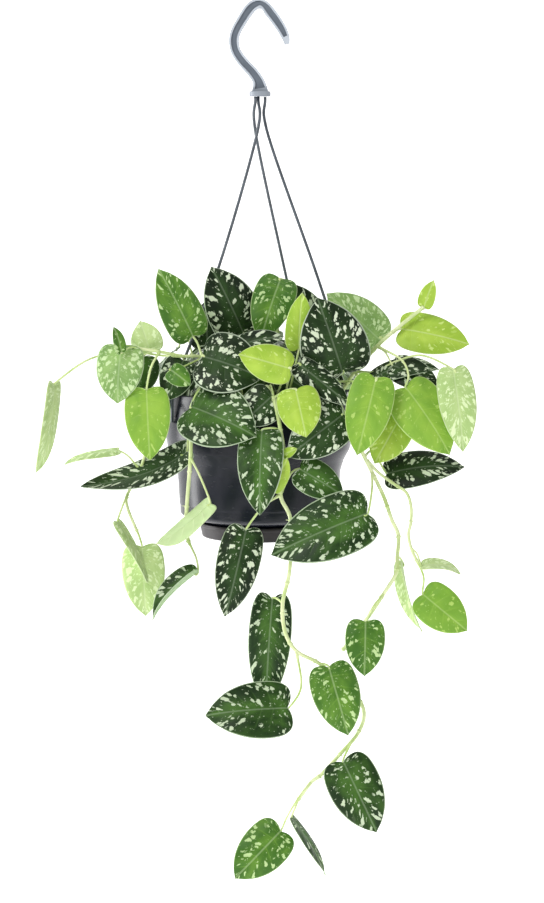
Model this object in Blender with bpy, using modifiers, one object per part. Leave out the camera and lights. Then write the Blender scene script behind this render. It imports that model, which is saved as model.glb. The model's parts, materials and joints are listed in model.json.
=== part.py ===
"""Hanging pothos: a pot with a clip-on saucer, soil, a three-strand plastic hanger, vines and leaves."""

import math

import bmesh
import bpy
from mathutils import Vector

MM = 0.001
GAP = 0.3  # clearance between touching pieces, in mm like everything below

# Levels, with the seat of the hook at zero
RIM_Z = -340.0
BASE_Z = -452.0
SAUCER_TOP_Z = -457.0
SAUCER_FLOOR_Z = -470.0
SOIL_Z = -352.0

RIM_R = 80.0
BODY_R = 71.0
WALL = 1.8
SAUCER_R = 54.0
ROUND_STEPS = 32

HOOK_DEPTH = 9.0
HOOK_RIM = 1.5
HOOK_RECESS = 2.2
SEAT_LENGTH = 9.0
COLLAR_R = 9.4
COLLAR_TOP_Z = -72.5
COLLAR_BOTTOM_Z = -77.0

STRAND_R = 1.1
STEM_R = 1.7
PETIOLE_R = 1.15
FARTHEST_START = 15  # a stalk starts no farther than this from its stem
START_STEP = 0.25
STALK_BEFORE_BLADE = 1.5  # where a stalk turns into its blade's line
STALK_INTO_BLADE = 5
STALK_RISE = 20  # times the arch, which lifts the stalk's end with the blade
BLADE = 1.2

COLOURS = {  # red, green, blue, roughness
    "leaf_dark": (0.03, 0.08, 0.03, 0.45),
    "leaf_mid": (0.10, 0.25, 0.06, 0.45),
    "leaf_lime": (0.38, 0.60, 0.07, 0.45),
    "leaf_pale": (0.62, 0.74, 0.48, 0.50),
    "stem": (0.60, 0.70, 0.35, 0.50),
    "pot_plastic": (0.013, 0.015, 0.023, 0.30),
    "saucer_plastic": (0.040, 0.035, 0.036, 0.40),
    "hanger_plastic": (0.13, 0.16, 0.19, 0.45),
    "soil": (0.035, 0.020, 0.012, 0.95),
}

# The hook's centre line (x, z) with its half width, from the free tip over the crown to the collar
HOOK_LINE = (
    (25.2, -31.0, 2.2), (23.6, -24.5, 3.6), (19.0, -15.5, 4.3), (11.0, -4.4, 4.6), (4.5, 2.7, 4.5),
    (-1.5, 3.9, 4.6), (-8.0, -0.3, 4.7), (-15.5, -11.5, 4.5), (-20.4, -20.5, 4.4), (-22.0, -28.5, 4.4),
    (-20.2, -37.5, 4.4), (-14.2, -46.5, 4.5), (-6.2, -55.0, 4.6), (-0.6, -63.0, 5.0), (1.0, -70.0, 6.6),
    (1.0, -74.0, 7.6),
)

# Each strand: where it leaves the collar, the points it passes, and the compass angle of its clip
STRANDS = {
    "strand_left": ((-0.5, 2.0), ((-2.0, -14.0, -112.0), (-37.0, -20.0, -232.0)), 205.0),
    "strand_right": ((5.5, -1.5), ((8.5, -2.0, -112.0), (52.0, -2.0, -236.0)), -4.0),
    "strand_back": ((-3.0, -3.5), ((-2.4, 5.0, -112.0), (24.0, 42.0, -236.0)), 57.0),
}

# Stems as routes along their centre lines, from the soil outwards
STEMS = {
    "front_vine": (
        (3, -20, -350), (6, -62, -331), (13, -92, -338), (19, -97, -365), (22, -98, -389),
        (19, -99, -421), (28, -98, -444), (27, -98, -487), (21, -98, -516), (23, -99, -541),
        (33, -100, -558), (53, -100, -569), (73, -99, -587), (87, -99, -600), (92, -99, -615),
        (86, -98, -632), (71, -97, -650), (55, -96, -668), (46, -96, -675), (35, -96, -690),
    ),
    "right_vine": (
        (46, -20, -351), (56, -50, -333), (66, -72, -337), (81, -80, -367), (92, -80, -390),
        (99, -80, -404), (109, -80, -425), (116, -80, -445), (122, -80, -459), (121, -82, -478),
        (120, -84, -492), (109, -86, -510), (98, -86, -527), (85, -84, -546), (74, -85, -559),
    ),
    "right_branch": (
        (98, -71, -396), (105, -74, -405), (119, -76, -415), (129, -78, -422), (133, -78, -434),
        (133, -78, -448), (131, -79, -458), (133, -80, -470), (138, -82, -481),
    ),
    "right_shoot": (
        (66, -8, -351), (77, -24, -333), (85, -40, -319), (104, -48, -296), (124, -50, -278),
        (144, -50, -262),
    ),
    "left_shoot": (
        (-35, -20, -351), (-41, -50, -322), (-49, -62, -305), (-67, -70, -303), (-86, -74, -299),
        (-104, -77, -296),
    ),
    "left_vine": (
        (-58, -6, -351), (-72, -12, -333), (-85, -26, -338), (-92, -50, -362), (-104, -62, -404),
        (-115, -66, -425), (-115, -68, -436), (-107, -70, -456),
    ),
    "left_front_vine": (
        (-39, -30, -351), (-45, -48, -334), (-52, -66, -333), (-58, -80, -352), (-59, -88, -390),
        (-63, -90, -446), (-61, -90, -463),
    ),
    "back_vine": (
        (-10, 30, -351), (-16, 62, -334), (-20, 84, -337), (-24, 96, -372), (-22, 99, -410),
        (-26, 99, -442),
    ),
}

# A leaf: its stem and the point of the stem's route that it grows from (or "soil" and a spot
# there), the points its stalk passes, the blade's base, tip and width, the way its upper side
# faces, how far it folds along the midrib (degrees), how much it arches, and its finish.
LEAVES = {
    "crown_leaf_01": ("left_shoot", 2, (), (-58, -52, -286), (-87, -60, -228),
                      38, (0.2, -1, 0.1), 12, 0.06, "leaf_lime"),
    "crown_leaf_02": ("soil", (-14, 2), ((-14, -8, -316),), (-14, -16, -286), (-42, -30, -227),
                      48, (0.1, -1, 0.2), 14, 0.08, "leaf_dark"),
    "crown_leaf_03": ("soil", (16, 10), ((30, 6, -296), (28, -2, -248)), (19, -14, -239), (1, -32, -293),
                      38, (0, -1, 0.3), 12, 0.16, "leaf_mid"),
    "crown_leaf_04": ("soil", (24, -42), ((30, -58, -322),), (35, -68, -297), (38, -78, -248),
                      26, (-0.2, -1, 0.1), 14, 0.06, "leaf_lime"),
    "crown_leaf_05": ("soil", (36, 24), ((46, 22, -316),), (52, 17, -286), (26, 10, -243),
                      34, (0, -1, 0.1), 10, 0.06, "leaf_dark"),
    "crown_leaf_06": ("soil", (34, -50), ((54, -68, -328),), (73, -71, -317), (51, -80, -252),
                      60, (0, -1, 0.2), 7, 0.08, "leaf_dark"),
    "crown_leaf_07": ("soil", (56, 14), ((84, 8, -326),), (108, -8, -293), (61, -24, -251),
                      42, (0, -1, 0.2), 8, 0.06, "leaf_mid"),
    "crown_leaf_08": ("soil", (-26, -46), ((-40, -66, -326),), (-48, -78, -303), (3, -86, -321),
                      56, (0.1, -1, 0.4), 10, 0.08, "leaf_dark"),
    "crown_leaf_09": ("soil", (12, -44), ((20, -80, -326),), (27, -98, -312), (-17, -106, -299),
                      33, (0, -1, 0.2), 8, 0.06, "leaf_lime"),
    "crown_leaf_10": ("front_vine", 2, (), (32, -104, -330), (41, -111, -370),
                      38, (0, -1, 0.2), 8, 0.08, "leaf_lime"),
    "crown_leaf_11": ("soil", (22, -56), ((26, -74, -324),), (35, -89, -309), (79, -97, -344),
                      24, (0.1, -1, 0.3), 8, 0.04, "leaf_dark"),
    "crown_leaf_12": ("soil", (-26, -56), ((-36, -66, -333), (-50, -78, -331)),
                      (-58, -86, -346), (-2, -110, -369),
                      60, (0.1, -1, 0.4), 12, 0.06, "leaf_mid"),
    "crown_leaf_13": ("front_vine", 3, (), (3, -98, -366), (1, -112, -437),
                      40, (-0.1, -1, 0.2), 14, 0.1, "leaf_dark"),
    "crown_leaf_14": ("right_vine", 3, (), (73, -92, -352), (25, -103, -388),
                      44, (0.1, -1, 0.2), 16, 0.06, "leaf_dark"),
    "right_leaf_01": ("right_shoot", 3, (), (126, -44, -281), (185, -48, -294),
                      38, (0, -1, 0.4), 8, 0.06, "leaf_lime"),
    "right_leaf_02": ("soil", (54, -28), ((67, -44, -329), (93, -76, -325)),
                      (101, -98, -321), (85, -107, -386),
                      40, (0, -1, 0.1), 8, 0.06, "leaf_lime"),
    "right_leaf_03": ("right_vine", 3, ((104, -76, -352),), (123, -73, -357), (101, -80, -396),
                      36, (0, -1, 0.2), 8, 0.06, "leaf_lime"),
    "right_leaf_04": ("right_shoot", 3, ((124, -69, -306), (130, -80, -319)),
                      (128, -83, -330), (166, -92, -387),
                      48, (0.1, -1, 0.3), 8, 0.08, "leaf_lime"),
    "right_leaf_05": ("right_shoot", 2, ((104, -52, -318), (119, -60, -309), (142, -78, -302)),
                      (168, -92, -314), (177, -100, -384),
                      33, (0.1, -1, 0.1), 8, 0.06, "leaf_pale"),
    "right_leaf_06": ("right_vine", 4, ((100, -60, -388),), (114, -50, -408), (181, -52, -401),
                      36, (0, -1, 0.7), 10, 0.08, "leaf_dark"),
    "right_leaf_07": ("right_vine", 5, ((98, -98, -418),), (93, -112, -436), (11, -116, -471),
                      56, (0, -1, 0.4), 10, 0.05, "leaf_mid"),
    "right_leaf_08": ("right_vine", 9, (), (126, -66, -486), (143, -68, -547),
                      22, (-1, -0.35, 0), 18, 0.04, "leaf_pale"),
    "right_leaf_09": ("right_vine", 11, ((100, -96, -519),), (93, -97, -533), (92, -101, -580),
                      35, (0, -1, 0.1), 8, 0.06, "leaf_mid"),
    "right_leaf_10": ("right_branch", 8, ((144, -84, -495),), (144, -84, -511), (182, -90, -542),
                      38, (-0.1, -1, 0.2), 8, 0.06, "leaf_lime"),
    "right_leaf_11": ("right_branch", 7, (), (143, -90, -484), (176, -92, -490),
                      20, (0.1, -0.4, 1), 20, 0.12, "leaf_pale"),
    "front_leaf_01": ("front_vine", 5, (), (-11, -102, -452), (-29, -106, -527),
                      38, (0.1, -1, 0.1), 10, 0.06, "leaf_dark"),
    "front_leaf_02": ("front_vine", 8, (), (12, -84, -515), (6, -80, -611),
                      38, (-0.1, -1, 0), 12, 0.06, "leaf_dark"),
    "front_leaf_03": ("front_vine", 10, ((37, -107, -588),), (25, -106, -607), (-46, -110, -612),
                      52, (0, -1, 0.5), 10, 0.05, "leaf_dark"),
    "front_leaf_04": ("front_vine", 11, (), (61, -107, -571), (78, -113, -630),
                      42, (0, -1, 0.2), 8, 0.06, "leaf_mid"),
    "front_leaf_05": ("front_vine", 15, (), (78, -105, -653), (108, -111, -714),
                      42, (0, -1, 0.2), 8, 0.06, "leaf_mid"),
    "front_leaf_06": ("front_vine", 18, ((37, -104, -684), (26, -103, -702)),
                      (19, -99, -718), (-21, -105, -759),
                      42, (0.1, -1, 0.3), 8, 0.06, "leaf_mid"),
    "front_leaf_07": ("front_vine", 19, (), (30, -94, -708), (59, -96, -758),
                      26, (0.9, -0.2, 0.5), 12, 0.04, "leaf_mid"),
    "left_leaf_01": ("left_shoot", 5, (), (-119, -81, -295), (-122, -88, -343),
                     42, (-0.1, -1, 0.3), 8, 0.1, "leaf_mid"),
    "left_leaf_02": ("left_shoot", 4, (), (-95, -60, -300), (-103, -64, -273),
                     28, (0, -1, 0.4), 10, 0.06, "leaf_pale"),
    "left_leaf_03": ("left_shoot", 4, ((-93, -84, -312),), (-97, -86, -332), (-94, -92, -392),
                     40, (0, -1, 0.1), 8, 0.06, "leaf_lime"),
    "left_leaf_04": ("left_shoot", 3, ((-84, -52, -304), (-112, -52, -301), (-147, -62, -306)),
                     (-178, -70, -329), (-193, -72, -406),
                     30, (1, -0.45, 0), 14, 0.05, "leaf_pale"),
    "left_leaf_05": ("left_front_vine", 3, (), (-64, -68, -388), (-155, -86, -412),
                     38, (0.1, -0.6, 1), 16, 0.1, "leaf_dark"),
    "left_leaf_06": ("left_front_vine", 4, ((-50, -100, -406),), (-42, -108, -428), (-87, -110, -464),
                     34, (-0.5, 0.5, -0.8), 14, 0.04, "leaf_pale"),
    "left_leaf_07": ("left_vine", 7, (), (-102, -73, -471), (-99, -77, -531),
                     38, (0, -1, 0.1), 8, 0.06, "leaf_pale"),
    "left_leaf_08": ("left_front_vine", 6, ((-54, -92, -478),), (-54, -93, -490), (-94, -95, -531),
                     24, (-0.6, -0.3, 0.8), 14, 0.05, "leaf_mid"),
    "back_leaf_01": ("soil", (-30, 28), ((-38, 42, -318),), (-40, 50, -300), (-64, 84, -342),
                     44, (-0.3, 0.6, 1), 10, 0.1, "leaf_dark"),
    "back_leaf_02": ("soil", (42, 24), ((52, 30, -314),), (56, 34, -296), (84, 62, -338),
                     46, (0.6, 0.5, 1), 10, 0.1, "leaf_mid"),
    "back_leaf_03": ("soil", (4, 42), ((2, 50, -305),), (2, 54, -287), (-4, 98, -325),
                     44, (0, 0.5, 1), 10, 0.1, "leaf_dark"),
    "back_leaf_04": ("back_vine", 3, (), (-8, 103, -386), (10, 110, -448),
                     46, (0.2, 1, 0.2), 10, 0.06, "leaf_dark"),
    "back_leaf_05": ("back_vine", 4, (), (-38, 103, -412), (-52, 108, -462),
                     40, (-0.2, 1, 0.2), 10, 0.06, "leaf_lime"),
}

# Half of a blade's outline and the midrib point that each outline point is joined to, both with
# the base at 0 and the tip at 1; across, 1 is the half width
MARGIN = (
    (0, 0), (-0.09, 0.34), (-0.04, 0.76), (0.14, 0.99),
    (0.36, 0.96), (0.60, 0.70), (0.82, 0.32), (1, 0),
)
MIDRIB = (0, 0.02, 0.07, 0.18, 0.33, 0.52, 0.75, 1)
BLADE_HALF_STEPS = 2


def clear_scene():
    for item in list(bpy.data.objects):
        bpy.data.objects.remove(item, do_unlink=True)


def collection(name):
    made = bpy.data.collections.new(name)
    bpy.context.scene.collection.children.link(made)
    return made


def plastic_or_leaf(name):
    red, green, blue, roughness = COLOURS[name]
    finish = bpy.data.materials.new(name)
    finish.use_nodes = True
    shader = finish.node_tree.nodes["Principled BSDF"]
    shader.inputs["Base Color"].default_value = (red, green, blue, 1)
    shader.inputs["Roughness"].default_value = roughness
    return finish


def add(name, data, finish, group):
    made = bpy.data.objects.new(name, data)
    group.objects.link(made)
    if finish:
        made.data.materials.append(finish)
    return made


def hide_cutter(item):
    item.hide_render = True
    item.display_type = "WIRE"
    return item


def as_mesh(item, group):
    """The object with its modifiers or bevel made a welded mesh; the original is removed."""
    bpy.context.view_layer.update()
    evaluated = item.evaluated_get(bpy.context.evaluated_depsgraph_get())
    data = bpy.data.meshes.new_from_object(evaluated)
    weld = bmesh.new()
    weld.from_mesh(data)
    bmesh.ops.remove_doubles(weld, verts=weld.verts, dist=0.00001)
    bmesh.ops.recalc_face_normals(weld, faces=weld.faces)
    weld.to_mesh(data)
    weld.free()
    name = item.name
    made = bpy.data.objects.new(name + "_mesh", data)
    made.matrix_world = item.matrix_world
    group.objects.link(made)
    bpy.data.objects.remove(item, do_unlink=True)
    made.name = name
    return made


def boolean(item, operation, other):
    step = item.modifiers.new(operation.lower(), "BOOLEAN")
    step.operation = operation
    step.object = other
    step.solver = "EXACT"


def smooth_route(points, steps):
    """A Catmull-Rom curve through the points, with this many steps to each stretch."""
    ends = [Vector(points[0]) * 2 - Vector(points[1])]
    ends += [Vector(point) for point in points]
    ends.append(Vector(points[-1]) * 2 - Vector(points[-2]))
    route = []
    for before, start, finish, after in zip(ends, ends[1:], ends[2:], ends[3:]):
        for step in range(steps):
            t = step / steps
            route.append(0.5 * (2 * start + (finish - before) * t
                                + (2 * before - 5 * start + 4 * finish - after) * t ** 2
                                + (3 * start - before - 3 * finish + after) * t ** 3))
    route.append(Vector(points[-1]))
    return route


def tube(name, route, radius, finish, group):
    data = bpy.data.curves.new(name, "CURVE")
    data.dimensions = "3D"
    data.bevel_depth = radius * MM
    data.bevel_resolution = 2
    data.use_fill_caps = True
    spline = data.splines.new("POLY")
    spline.points.add(len(route) - 1)
    for point, place in zip(spline.points, route):
        point.co = (*(Vector(place) * MM), 1)
    return add(name, data, finish, group)


def turned(name, profile, finish, group):
    """A profile of (radius, z) turned about Z; outer sides run downwards."""
    data = bpy.data.meshes.new(name)
    points = [(radius * MM, 0, z * MM) for radius, z in profile]
    edges = [(first, first + 1) for first in range(len(points) - 1)]
    data.from_pydata(points, edges, [])
    made = add(name, data, finish, group)
    screw = made.modifiers.new("turn", "SCREW")
    screw.axis = "Z"
    screw.steps = ROUND_STEPS
    screw.render_steps = ROUND_STEPS
    screw.use_merge_vertices = True
    screw.merge_threshold = 0.00001
    screw.use_smooth_shade = True
    return made


def pot_outside():
    return [
        (RIM_R - 0.8, RIM_Z), (RIM_R, RIM_Z - 0.8), (RIM_R + 2.6, RIM_Z - 20), (RIM_R + 2.2, RIM_Z - 21.5),
        (RIM_R + 3.8, RIM_Z - 25), (RIM_R + 3.8, RIM_Z - 38), (RIM_R + 2.0, RIM_Z - 50),
        (RIM_R - 3.4, RIM_Z - 60), (RIM_R - 6.6, RIM_Z - 70), (RIM_R - 7.6, RIM_Z - 85),
        (BODY_R, BASE_Z + 3), (BODY_R - 4, BASE_Z), (SAUCER_R - 3.6, BASE_Z - 3.5),
        (SAUCER_R - 4, SAUCER_FLOOR_Z + WALL + GAP), (0, SAUCER_FLOOR_Z + WALL + GAP),
    ]


def pot_inside():
    """From the middle of the inner floor up to the rim."""
    return [
        (0, BASE_Z), (BODY_R - 6, BASE_Z + 2.5), (BODY_R - WALL, BASE_Z + 6), (RIM_R - 9.6, RIM_Z - 85),
        (RIM_R - 8.6, RIM_Z - 70), (RIM_R - 5.2, RIM_Z - 60), (RIM_R - 0.2, RIM_Z - 50),
        (RIM_R + 0.6, RIM_Z - 24), (RIM_R - 2.2, RIM_Z - 1),
    ]


def make_pot(finishes, parts):
    turned("pot", pot_inside() + pot_outside(), finishes["pot_plastic"], parts)


def make_soil(finishes, parts):
    side = [(radius - GAP, z) for radius, z in pot_inside()[1:-1]]
    top_radius = RIM_R - 1.0
    profile = [(0, SOIL_Z), (top_radius, SOIL_Z - 1)]
    profile += reversed(side[:-1])
    profile.append((0, BASE_Z + GAP))
    turned("soil", profile, finishes["soil"], parts)


def make_saucer(finishes, parts):
    floor = SAUCER_FLOOR_Z + WALL
    turned("saucer", [
        (0, floor), (SAUCER_R - 3.4, floor), (SAUCER_R - 2.6, floor + 1), (SAUCER_R - 1.5, SAUCER_TOP_Z),
        (SAUCER_R, SAUCER_TOP_Z), (SAUCER_R - 0.4, SAUCER_TOP_Z - 3), (SAUCER_R - 1.0, SAUCER_TOP_Z - 3.4),
        (SAUCER_R - 2.6, SAUCER_FLOOR_Z + 1), (SAUCER_R - 3.6, SAUCER_FLOOR_Z), (0, SAUCER_FLOOR_Z),
    ], finishes["saucer_plastic"], parts)


def plate(name, outline, depth, group):
    """A flat (x, z) outline made a solid plate of this depth, centred on y = 0."""
    data = bpy.data.curves.new(name, "CURVE")
    data.dimensions = "2D"
    data.fill_mode = "BOTH"
    data.extrude = depth / 2 * MM
    spline = data.splines.new("POLY")
    spline.points.add(len(outline) - 1)
    for point, (x, z) in zip(spline.points, outline):
        point.co = (x * MM, z * MM, 0, 1)
    spline.use_cyclic_u = True
    made = add(name, data, None, group)
    made.rotation_euler = (math.radians(90), 0, 0)
    return as_mesh(made, group)


def hook_outline(inset, first, last):
    """Both sides of the hook's centre line, drawn in by the inset."""
    line = [Vector(point) for point in smooth_route(HOOK_LINE[first:last], 2)]
    left, right = [], []
    for index, point in enumerate(line):
        along = line[min(index + 1, len(line) - 1)] - line[max(index - 1, 0)]
        across = Vector((-along.y, along.x)).normalized() * (point.z - inset)
        left.append((point.x + across.x, point.y + across.y))
        right.append((point.x - across.x, point.y - across.y))
    return left + right[::-1]


def block(name, low, high, group):
    data = bpy.data.meshes.new(name)
    shape = bmesh.new()
    bmesh.ops.create_cube(shape, size=1)
    centre = (Vector(low) + Vector(high)) / 2
    size = Vector(high) - Vector(low)
    for vert in shape.verts:
        vert.co = Vector(centre[axis] + vert.co[axis] * size[axis] for axis in range(3)) * MM
    shape.to_mesh(data)
    shape.free()
    return add(name, data, None, group)


def make_hook(finishes, parts, cutters):
    hook = plate("hanger_hook", hook_outline(0, 0, len(HOOK_LINE)), HOOK_DEPTH, parts)
    hook.data.materials.append(finishes["hanger_plastic"])
    low = (-SEAT_LENGTH / 2, -HOOK_DEPTH, -6)
    seat = block("seat_cutter", low, (SEAT_LENGTH / 2, HOOK_DEPTH, 0), cutters)
    boolean(hook, "DIFFERENCE", hide_cutter(seat))
    for side in (-1, 1):
        inside = hook_outline(HOOK_RIM, 1, len(HOOK_LINE) - 1)
        recess = plate("hook_recess", inside, HOOK_RECESS * 2, cutters)
        recess.location.y = side * HOOK_DEPTH / 2 * MM
        boolean(hook, "DIFFERENCE", hide_cutter(recess))
    collar = turned("hook_collar", [
        (0, COLLAR_TOP_Z), (COLLAR_R - 0.8, COLLAR_TOP_Z), (COLLAR_R, COLLAR_TOP_Z - 0.8),
        (COLLAR_R, COLLAR_BOTTOM_Z), (0, COLLAR_BOTTOM_Z),
    ], None, cutters)
    collar.location.x = 1.0 * MM
    boolean(hook, "UNION", hide_cutter(collar))


def make_strand(name, finishes, parts, cutters):
    """A round strand from under the collar to a saddle clip over the pot's rim."""
    (from_x, from_y), middle, angle = STRANDS[name]
    turn = math.radians(angle)
    outward = Vector((math.cos(turn), math.sin(turn), 0))
    clip_top = outward * (RIM_R + 5.4)
    clip_top.z = RIM_Z + 1.4
    route = smooth_route([
        (from_x, from_y, COLLAR_BOTTOM_Z - 2 * GAP), *middle, clip_top, clip_top - Vector((0, 0, 12)),
    ], 3)
    strand = as_mesh(tube(name, route, STRAND_R, None, parts), parts)
    strand.data.materials.append(finishes["hanger_plastic"])
    inner = RIM_R - 2.6
    outer = RIM_R + 4.4
    clip = plate("clip_" + name, [
        (inner - 1.8, RIM_Z - 7), (inner, RIM_Z - 7), (inner, RIM_Z + GAP), (outer, RIM_Z + GAP),
        (outer, RIM_Z - 24), (outer + 2.2, RIM_Z - 24), (outer + 2.2, RIM_Z + 2.2),
        (inner - 1.8, RIM_Z + 2.2),
    ], 6, cutters)
    clip.rotation_euler.z = turn
    boolean(strand, "UNION", hide_cutter(clip))


def between(values, t):
    """The value at t, from 0 to 1, along evenly spaced values, straight from each to the next."""
    place = t * (len(values) - 1)
    first = min(int(place), len(values) - 2)
    return values[first] + (values[first + 1] - values[first]) * (place - first)


def blade_axes(base, tip, facing):
    along = (tip - base).normalized()
    up = Vector(facing)
    up = (up - along * up.dot(along)).normalized()
    return along, up.cross(along), up


def blade(name, base, tip, width, facing, fold, arch, finish, group):
    """A heart-shaped blade: a grid drawn from the midrib out to the margin, given its thickness."""
    length = (tip - base).length
    along, side, up = blade_axes(base, tip, facing)
    data = bpy.data.meshes.new(name)
    grid = bmesh.new()
    bmesh.ops.create_grid(grid, x_segments=len(MARGIN) - 1, y_segments=BLADE_HALF_STEPS * 2, size=1)
    for vert in grid.verts:
        t = (vert.co.x + 1) / 2
        out = abs(vert.co.y)
        hand = 1 if vert.co.y > 0 else -1
        edge_x = between([point[0] for point in MARGIN], t)
        edge_y = between([point[1] for point in MARGIN], t)
        rib_x = between(MIDRIB, t)
        x = rib_x + (edge_x - rib_x) * out
        y = edge_y * out * width / 2
        rise = y * math.tan(math.radians(fold)) + arch * length * (1 - (2 * x - 1) ** 2)
        vert.co = (base + along * (x * length) + side * (hand * y) + up * rise) * MM
    bmesh.ops.remove_doubles(grid, verts=grid.verts, dist=0.00002)
    grid.to_mesh(data)
    grid.free()
    made = add(name, data, finish, group)
    thick = made.modifiers.new("thickness", "SOLIDIFY")
    thick.thickness = BLADE * MM
    thick.offset = 0
    return made


def clear_start(root, towards, route):
    """The nearest place to the root, on the way to the next point, that stays clear of the stem."""
    way = (towards - root).normalized()
    distance = STEM_R + GAP
    while distance < FARTHEST_START:
        place = root + way * distance
        nearest = math.inf
        for first, last in zip(route, route[1:]):
            span = last - first
            t = max(0, min(1, (place - first).dot(span) / span.length_squared))
            nearest = min(nearest, (place - first - span * t).length)
        if nearest > STEM_R + GAP + PETIOLE_R:
            break
        distance += START_STEP
    return place


def make_leaf(name, finishes, parts, cutters):
    stem, node, middle, base, tip, width, facing, fold, arch, finish = LEAVES[name]
    base = Vector(base)
    tip = Vector(tip)
    middle = [Vector(point) for point in middle]
    towards = middle[0] if middle else base
    if stem == "soil":
        start = Vector((*node, SOIL_Z + GAP * 2))
    else:
        start = clear_start(Vector(STEMS[stem][node]), towards, smooth_route(STEMS[stem], 2))
    along, _, up = blade_axes(base, tip, facing)
    stalk_end = base + along * STALK_INTO_BLADE + up * (arch * STALK_RISE)
    route = [start, *middle, base - along * STALK_BEFORE_BLADE, stalk_end]
    leaf = blade(name, base, tip, width, facing, fold, arch, finishes[finish], parts)
    stalk = as_mesh(tube("stalk_" + name, route, PETIOLE_R, None, cutters), cutters)
    boolean(leaf, "UNION", hide_cutter(stalk))


def main():
    clear_scene()
    parts = collection("hanging_pothos")
    cutters = collection("cutters")
    finishes = {name: plastic_or_leaf(name) for name in COLOURS}
    make_pot(finishes, parts)
    make_soil(finishes, parts)
    make_saucer(finishes, parts)
    make_hook(finishes, parts, cutters)
    for name in STRANDS:
        make_strand(name, finishes, parts, cutters)
    for name, route in STEMS.items():
        tube(name, smooth_route(route, 2), STEM_R, finishes["stem"], parts)
    for name in LEAVES:
        make_leaf(name, finishes, parts, cutters)


main()
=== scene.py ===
import json
import math
import random

import bmesh
import bpy
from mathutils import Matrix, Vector, noise

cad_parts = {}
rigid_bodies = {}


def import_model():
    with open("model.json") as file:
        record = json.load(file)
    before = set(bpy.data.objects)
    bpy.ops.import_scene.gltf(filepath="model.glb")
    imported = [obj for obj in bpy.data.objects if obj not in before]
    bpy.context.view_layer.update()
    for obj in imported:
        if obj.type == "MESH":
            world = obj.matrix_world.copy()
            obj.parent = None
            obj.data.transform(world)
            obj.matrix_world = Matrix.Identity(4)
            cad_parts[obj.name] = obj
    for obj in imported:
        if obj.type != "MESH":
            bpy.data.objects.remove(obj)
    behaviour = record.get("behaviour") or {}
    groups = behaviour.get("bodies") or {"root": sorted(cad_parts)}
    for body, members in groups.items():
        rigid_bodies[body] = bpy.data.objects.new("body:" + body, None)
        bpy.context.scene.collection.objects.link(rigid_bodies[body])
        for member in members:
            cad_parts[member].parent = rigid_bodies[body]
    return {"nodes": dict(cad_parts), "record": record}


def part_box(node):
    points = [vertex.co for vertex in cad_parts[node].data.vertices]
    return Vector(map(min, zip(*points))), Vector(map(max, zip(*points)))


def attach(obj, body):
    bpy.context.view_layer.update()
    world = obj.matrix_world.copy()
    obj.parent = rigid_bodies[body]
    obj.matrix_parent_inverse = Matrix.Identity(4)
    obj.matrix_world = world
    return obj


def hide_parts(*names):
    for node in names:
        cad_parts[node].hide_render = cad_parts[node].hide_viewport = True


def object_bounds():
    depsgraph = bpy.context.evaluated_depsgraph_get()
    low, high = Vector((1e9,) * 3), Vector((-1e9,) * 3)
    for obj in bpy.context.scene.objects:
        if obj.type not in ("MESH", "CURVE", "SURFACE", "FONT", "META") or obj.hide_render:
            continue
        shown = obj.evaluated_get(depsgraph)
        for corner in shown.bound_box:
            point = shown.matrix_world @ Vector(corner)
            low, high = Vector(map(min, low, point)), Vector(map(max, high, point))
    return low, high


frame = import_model()
cadLow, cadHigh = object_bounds()
mm = 0.001
slotOf = {row["node"]: row["material_slot"] for row in frame["record"]["subparts"]}

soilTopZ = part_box("soil")[1].z
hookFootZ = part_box("hanger_hook")[0].z
print("frame loaded:", len(frame["nodes"]), "nodes")


# small tools

def smoothRoute(points, steps):
    # a Catmull-Rom curve through the points, steps to each stretch
    ends = [Vector(points[0]) * 2 - Vector(points[1])]
    ends += [Vector(point) for point in points]
    ends.append(Vector(points[-1]) * 2 - Vector(points[-2]))
    route = []
    for before, start, finish, after in zip(ends, ends[1:], ends[2:], ends[3:]):
        for step in range(steps):
            t = step / steps
            route.append(0.5 * (2 * start + (finish - before) * t
                                + (2 * before - 5 * start + 4 * finish - after) * t ** 2
                                + (3 * start - before - 3 * finish + after) * t ** 3))
    route.append(Vector(points[-1]))
    return route


def inMetres(points):
    return [Vector(point) * mm for point in points]


def link(item):
    bpy.context.scene.collection.objects.link(item)
    return item


def finished(item, name):
    # the evaluated shape as a plain mesh at the origin; the original goes
    bpy.context.view_layer.update()
    evaluated = item.evaluated_get(bpy.context.evaluated_depsgraph_get())
    data = bpy.data.meshes.new_from_object(evaluated)
    data.transform(item.matrix_world)
    bpy.data.objects.remove(item, do_unlink=True)
    data.name = name
    return link(bpy.data.objects.new(name, data))


def settle(piece, slotName, *nodes):
    # every piece rides on the one body
    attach(piece, "root")
    if nodes:
        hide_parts(*nodes)
    return piece


def sweep(shape, points, radii, sides, materialIndex):
    # a closed round tube of changing radius, added to a bmesh
    rings = []
    side = None
    for index, point in enumerate(points):
        along = (points[min(index + 1, len(points) - 1)] - points[max(index - 1, 0)]).normalized()
        if side is None:
            side = along.orthogonal().normalized()
        side = (side - along * side.dot(along)).normalized()
        other = along.cross(side)
        ring = []
        for turn in range(sides):
            angle = 2 * math.pi * turn / sides
            offset = (side * math.cos(angle) + other * math.sin(angle)) * radii[index]
            ring.append(shape.verts.new(point + offset))
        rings.append(ring)
    for ring, after in zip(rings, rings[1:]):
        for turn in range(sides):
            step = (turn + 1) % sides
            face = shape.faces.new((ring[turn], ring[step], after[step], after[turn]))
            face.material_index = materialIndex
            face.smooth = True
    shape.faces.new(rings[0][::-1]).material_index = materialIndex
    shape.faces.new(rings[-1]).material_index = materialIndex


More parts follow.
